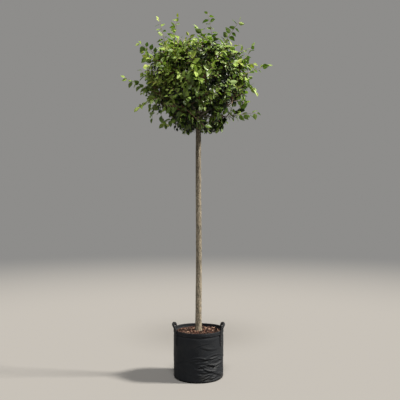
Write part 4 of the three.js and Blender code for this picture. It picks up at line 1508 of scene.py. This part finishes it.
# The lamps: the setting with its strength, the softness as the angle that it fills, the colour,
# the lean from the vertical, and the turn round from the camera's side, with angles in degrees.
LAMPS = (("key", 9, (1.0, 0.95, 0.86), 48, 86), ("top", 20, (1.0, 0.98, 0.94), 32, 0))


def floor_disc():
    """Vertices and faces of a flat round floor: rings of vertices whose distances from the middle
    grow by the square."""
    bearing = np.linspace(0, FULL_TURN, FLOOR_SIDES, endpoint=False)
    radius = FLOOR_RADIUS * np.linspace(0.05, 1, 24)[:, None] ** 2
    vertices = np.concatenate([around(radius, bearing, 0.0).reshape(-1, 3), np.zeros((1, 3))])
    middle = fan(len(vertices) - 1, 0, FLOOR_SIDES, False)
    return vertices, [ring_faces(len(radius), FLOOR_SIDES)[:, ::-1], middle]


class PLANTERTREE_OT_stage(bpy.types.Operator):
    """Makes the floor, the light and the camera"""

    bl_idname = "planter_tree.stage"
    bl_label = "Make the Stage"

    def execute(self, context):
        settings = context.scene.planter_tree_stage
        material = plain_floor("floor", settings.floor, shade(settings.air, settings.fill))
        make_piece("floor", *floor_disc(), [material])
        world = bpy.data.worlds.new("studio")
        world.use_nodes = True
        world.node_tree.nodes["Background"].inputs["Color"].default_value = (*settings.air, 1)
        world.node_tree.nodes["Background"].inputs["Strength"].default_value = settings.fill
        context.scene.world = world
        for name, *look in LAMPS:
            self.add_sun(name, getattr(settings, name), *look)
        camera_data = bpy.data.cameras.new("camera")
        camera_data.lens, camera_data.sensor_width = settings.lens, SENSOR_WIDTH
        camera = bpy.data.objects.new("camera", camera_data)
        camera.location = (CAMERA_ASIDE, -settings.distance, settings.eye)
        camera.rotation_euler = (math.radians(CAMERA_TILT), 0, 0)
        context.scene.collection.objects.link(camera)
        context.scene.camera = camera
        context.scene.view_settings.view_transform = "Standard"
        return {"FINISHED"}

    def add_sun(self, name, strength, softness, colour, lean, turn):
        """A sun-like lamp, which lights from the same side everywhere."""
        light = bpy.data.lights.new(name, "SUN")
        light.energy, light.angle, light.color = strength, math.radians(softness), colour
        lamp = bpy.data.objects.new(name, light)
        lamp.rotation_euler = (math.radians(lean), 0, math.radians(turn))
        bpy.context.scene.collection.objects.link(lamp)


class PLANTERTREE_PT_panel(bpy.types.Panel):
    """Lists the steps that dress the tree, in order, with their settings"""

    bl_idname = "PLANTERTREE_PT_panel"
    bl_label = "Planter Tree"
    bl_space_type = "VIEW_3D"
    bl_region_type = "UI"
    bl_category = "Planter Tree"

    def draw(self, context):
        for operator in OPERATORS:
            self.layout.operator(operator.bl_idname)
        for name, group in SETTINGS.items():
            box = self.layout.box()
            box.label(text=group.__doc__)
            for field in group.__annotations__:
                box.prop(getattr(context.scene, name), field)


SETTINGS = {
    "planter_tree_bag": BagSettings,
    "planter_tree_mulch": MulchSettings,
    "planter_tree_wood": WoodSettings,
    "planter_tree_leaves": LeafSettings,
    "planter_tree_stage": StageSettings,
}
OPERATORS = (
    PLANTERTREE_OT_bag,
    PLANTERTREE_OT_straps,
    PLANTERTREE_OT_stitching,
    PLANTERTREE_OT_mulch,
    PLANTERTREE_OT_stem,
    PLANTERTREE_OT_boughs,
    PLANTERTREE_OT_twigs,
    PLANTERTREE_OT_leaves,
    PLANTERTREE_OT_stage,
)


CLASSES = (*SETTINGS.values(), *OPERATORS, PLANTERTREE_PT_panel)


def register():
    for kind in CLASSES:
        bpy.utils.register_class(kind)
    for name, group in SETTINGS.items():
        setattr(bpy.types.Scene, name, bpy.props.PointerProperty(type=group))


def unregister():
    for name in SETTINGS:
        delattr(bpy.types.Scene, name)
    for kind in reversed(CLASSES):
        bpy.utils.unregister_class(kind)


def main():
    """Makes every piece in order."""
    register()
    bpy.ops.planter_tree.bag()
    bpy.ops.planter_tree.straps()
    bpy.ops.planter_tree.stitching()
    bpy.ops.planter_tree.mulch()
    bpy.ops.planter_tree.stem()
    bpy.ops.planter_tree.boughs()
    bpy.ops.planter_tree.twigs()
    bpy.ops.planter_tree.leaves()
    bpy.ops.planter_tree.stage()
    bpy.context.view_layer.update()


if __name__ == "__main__":
    main()
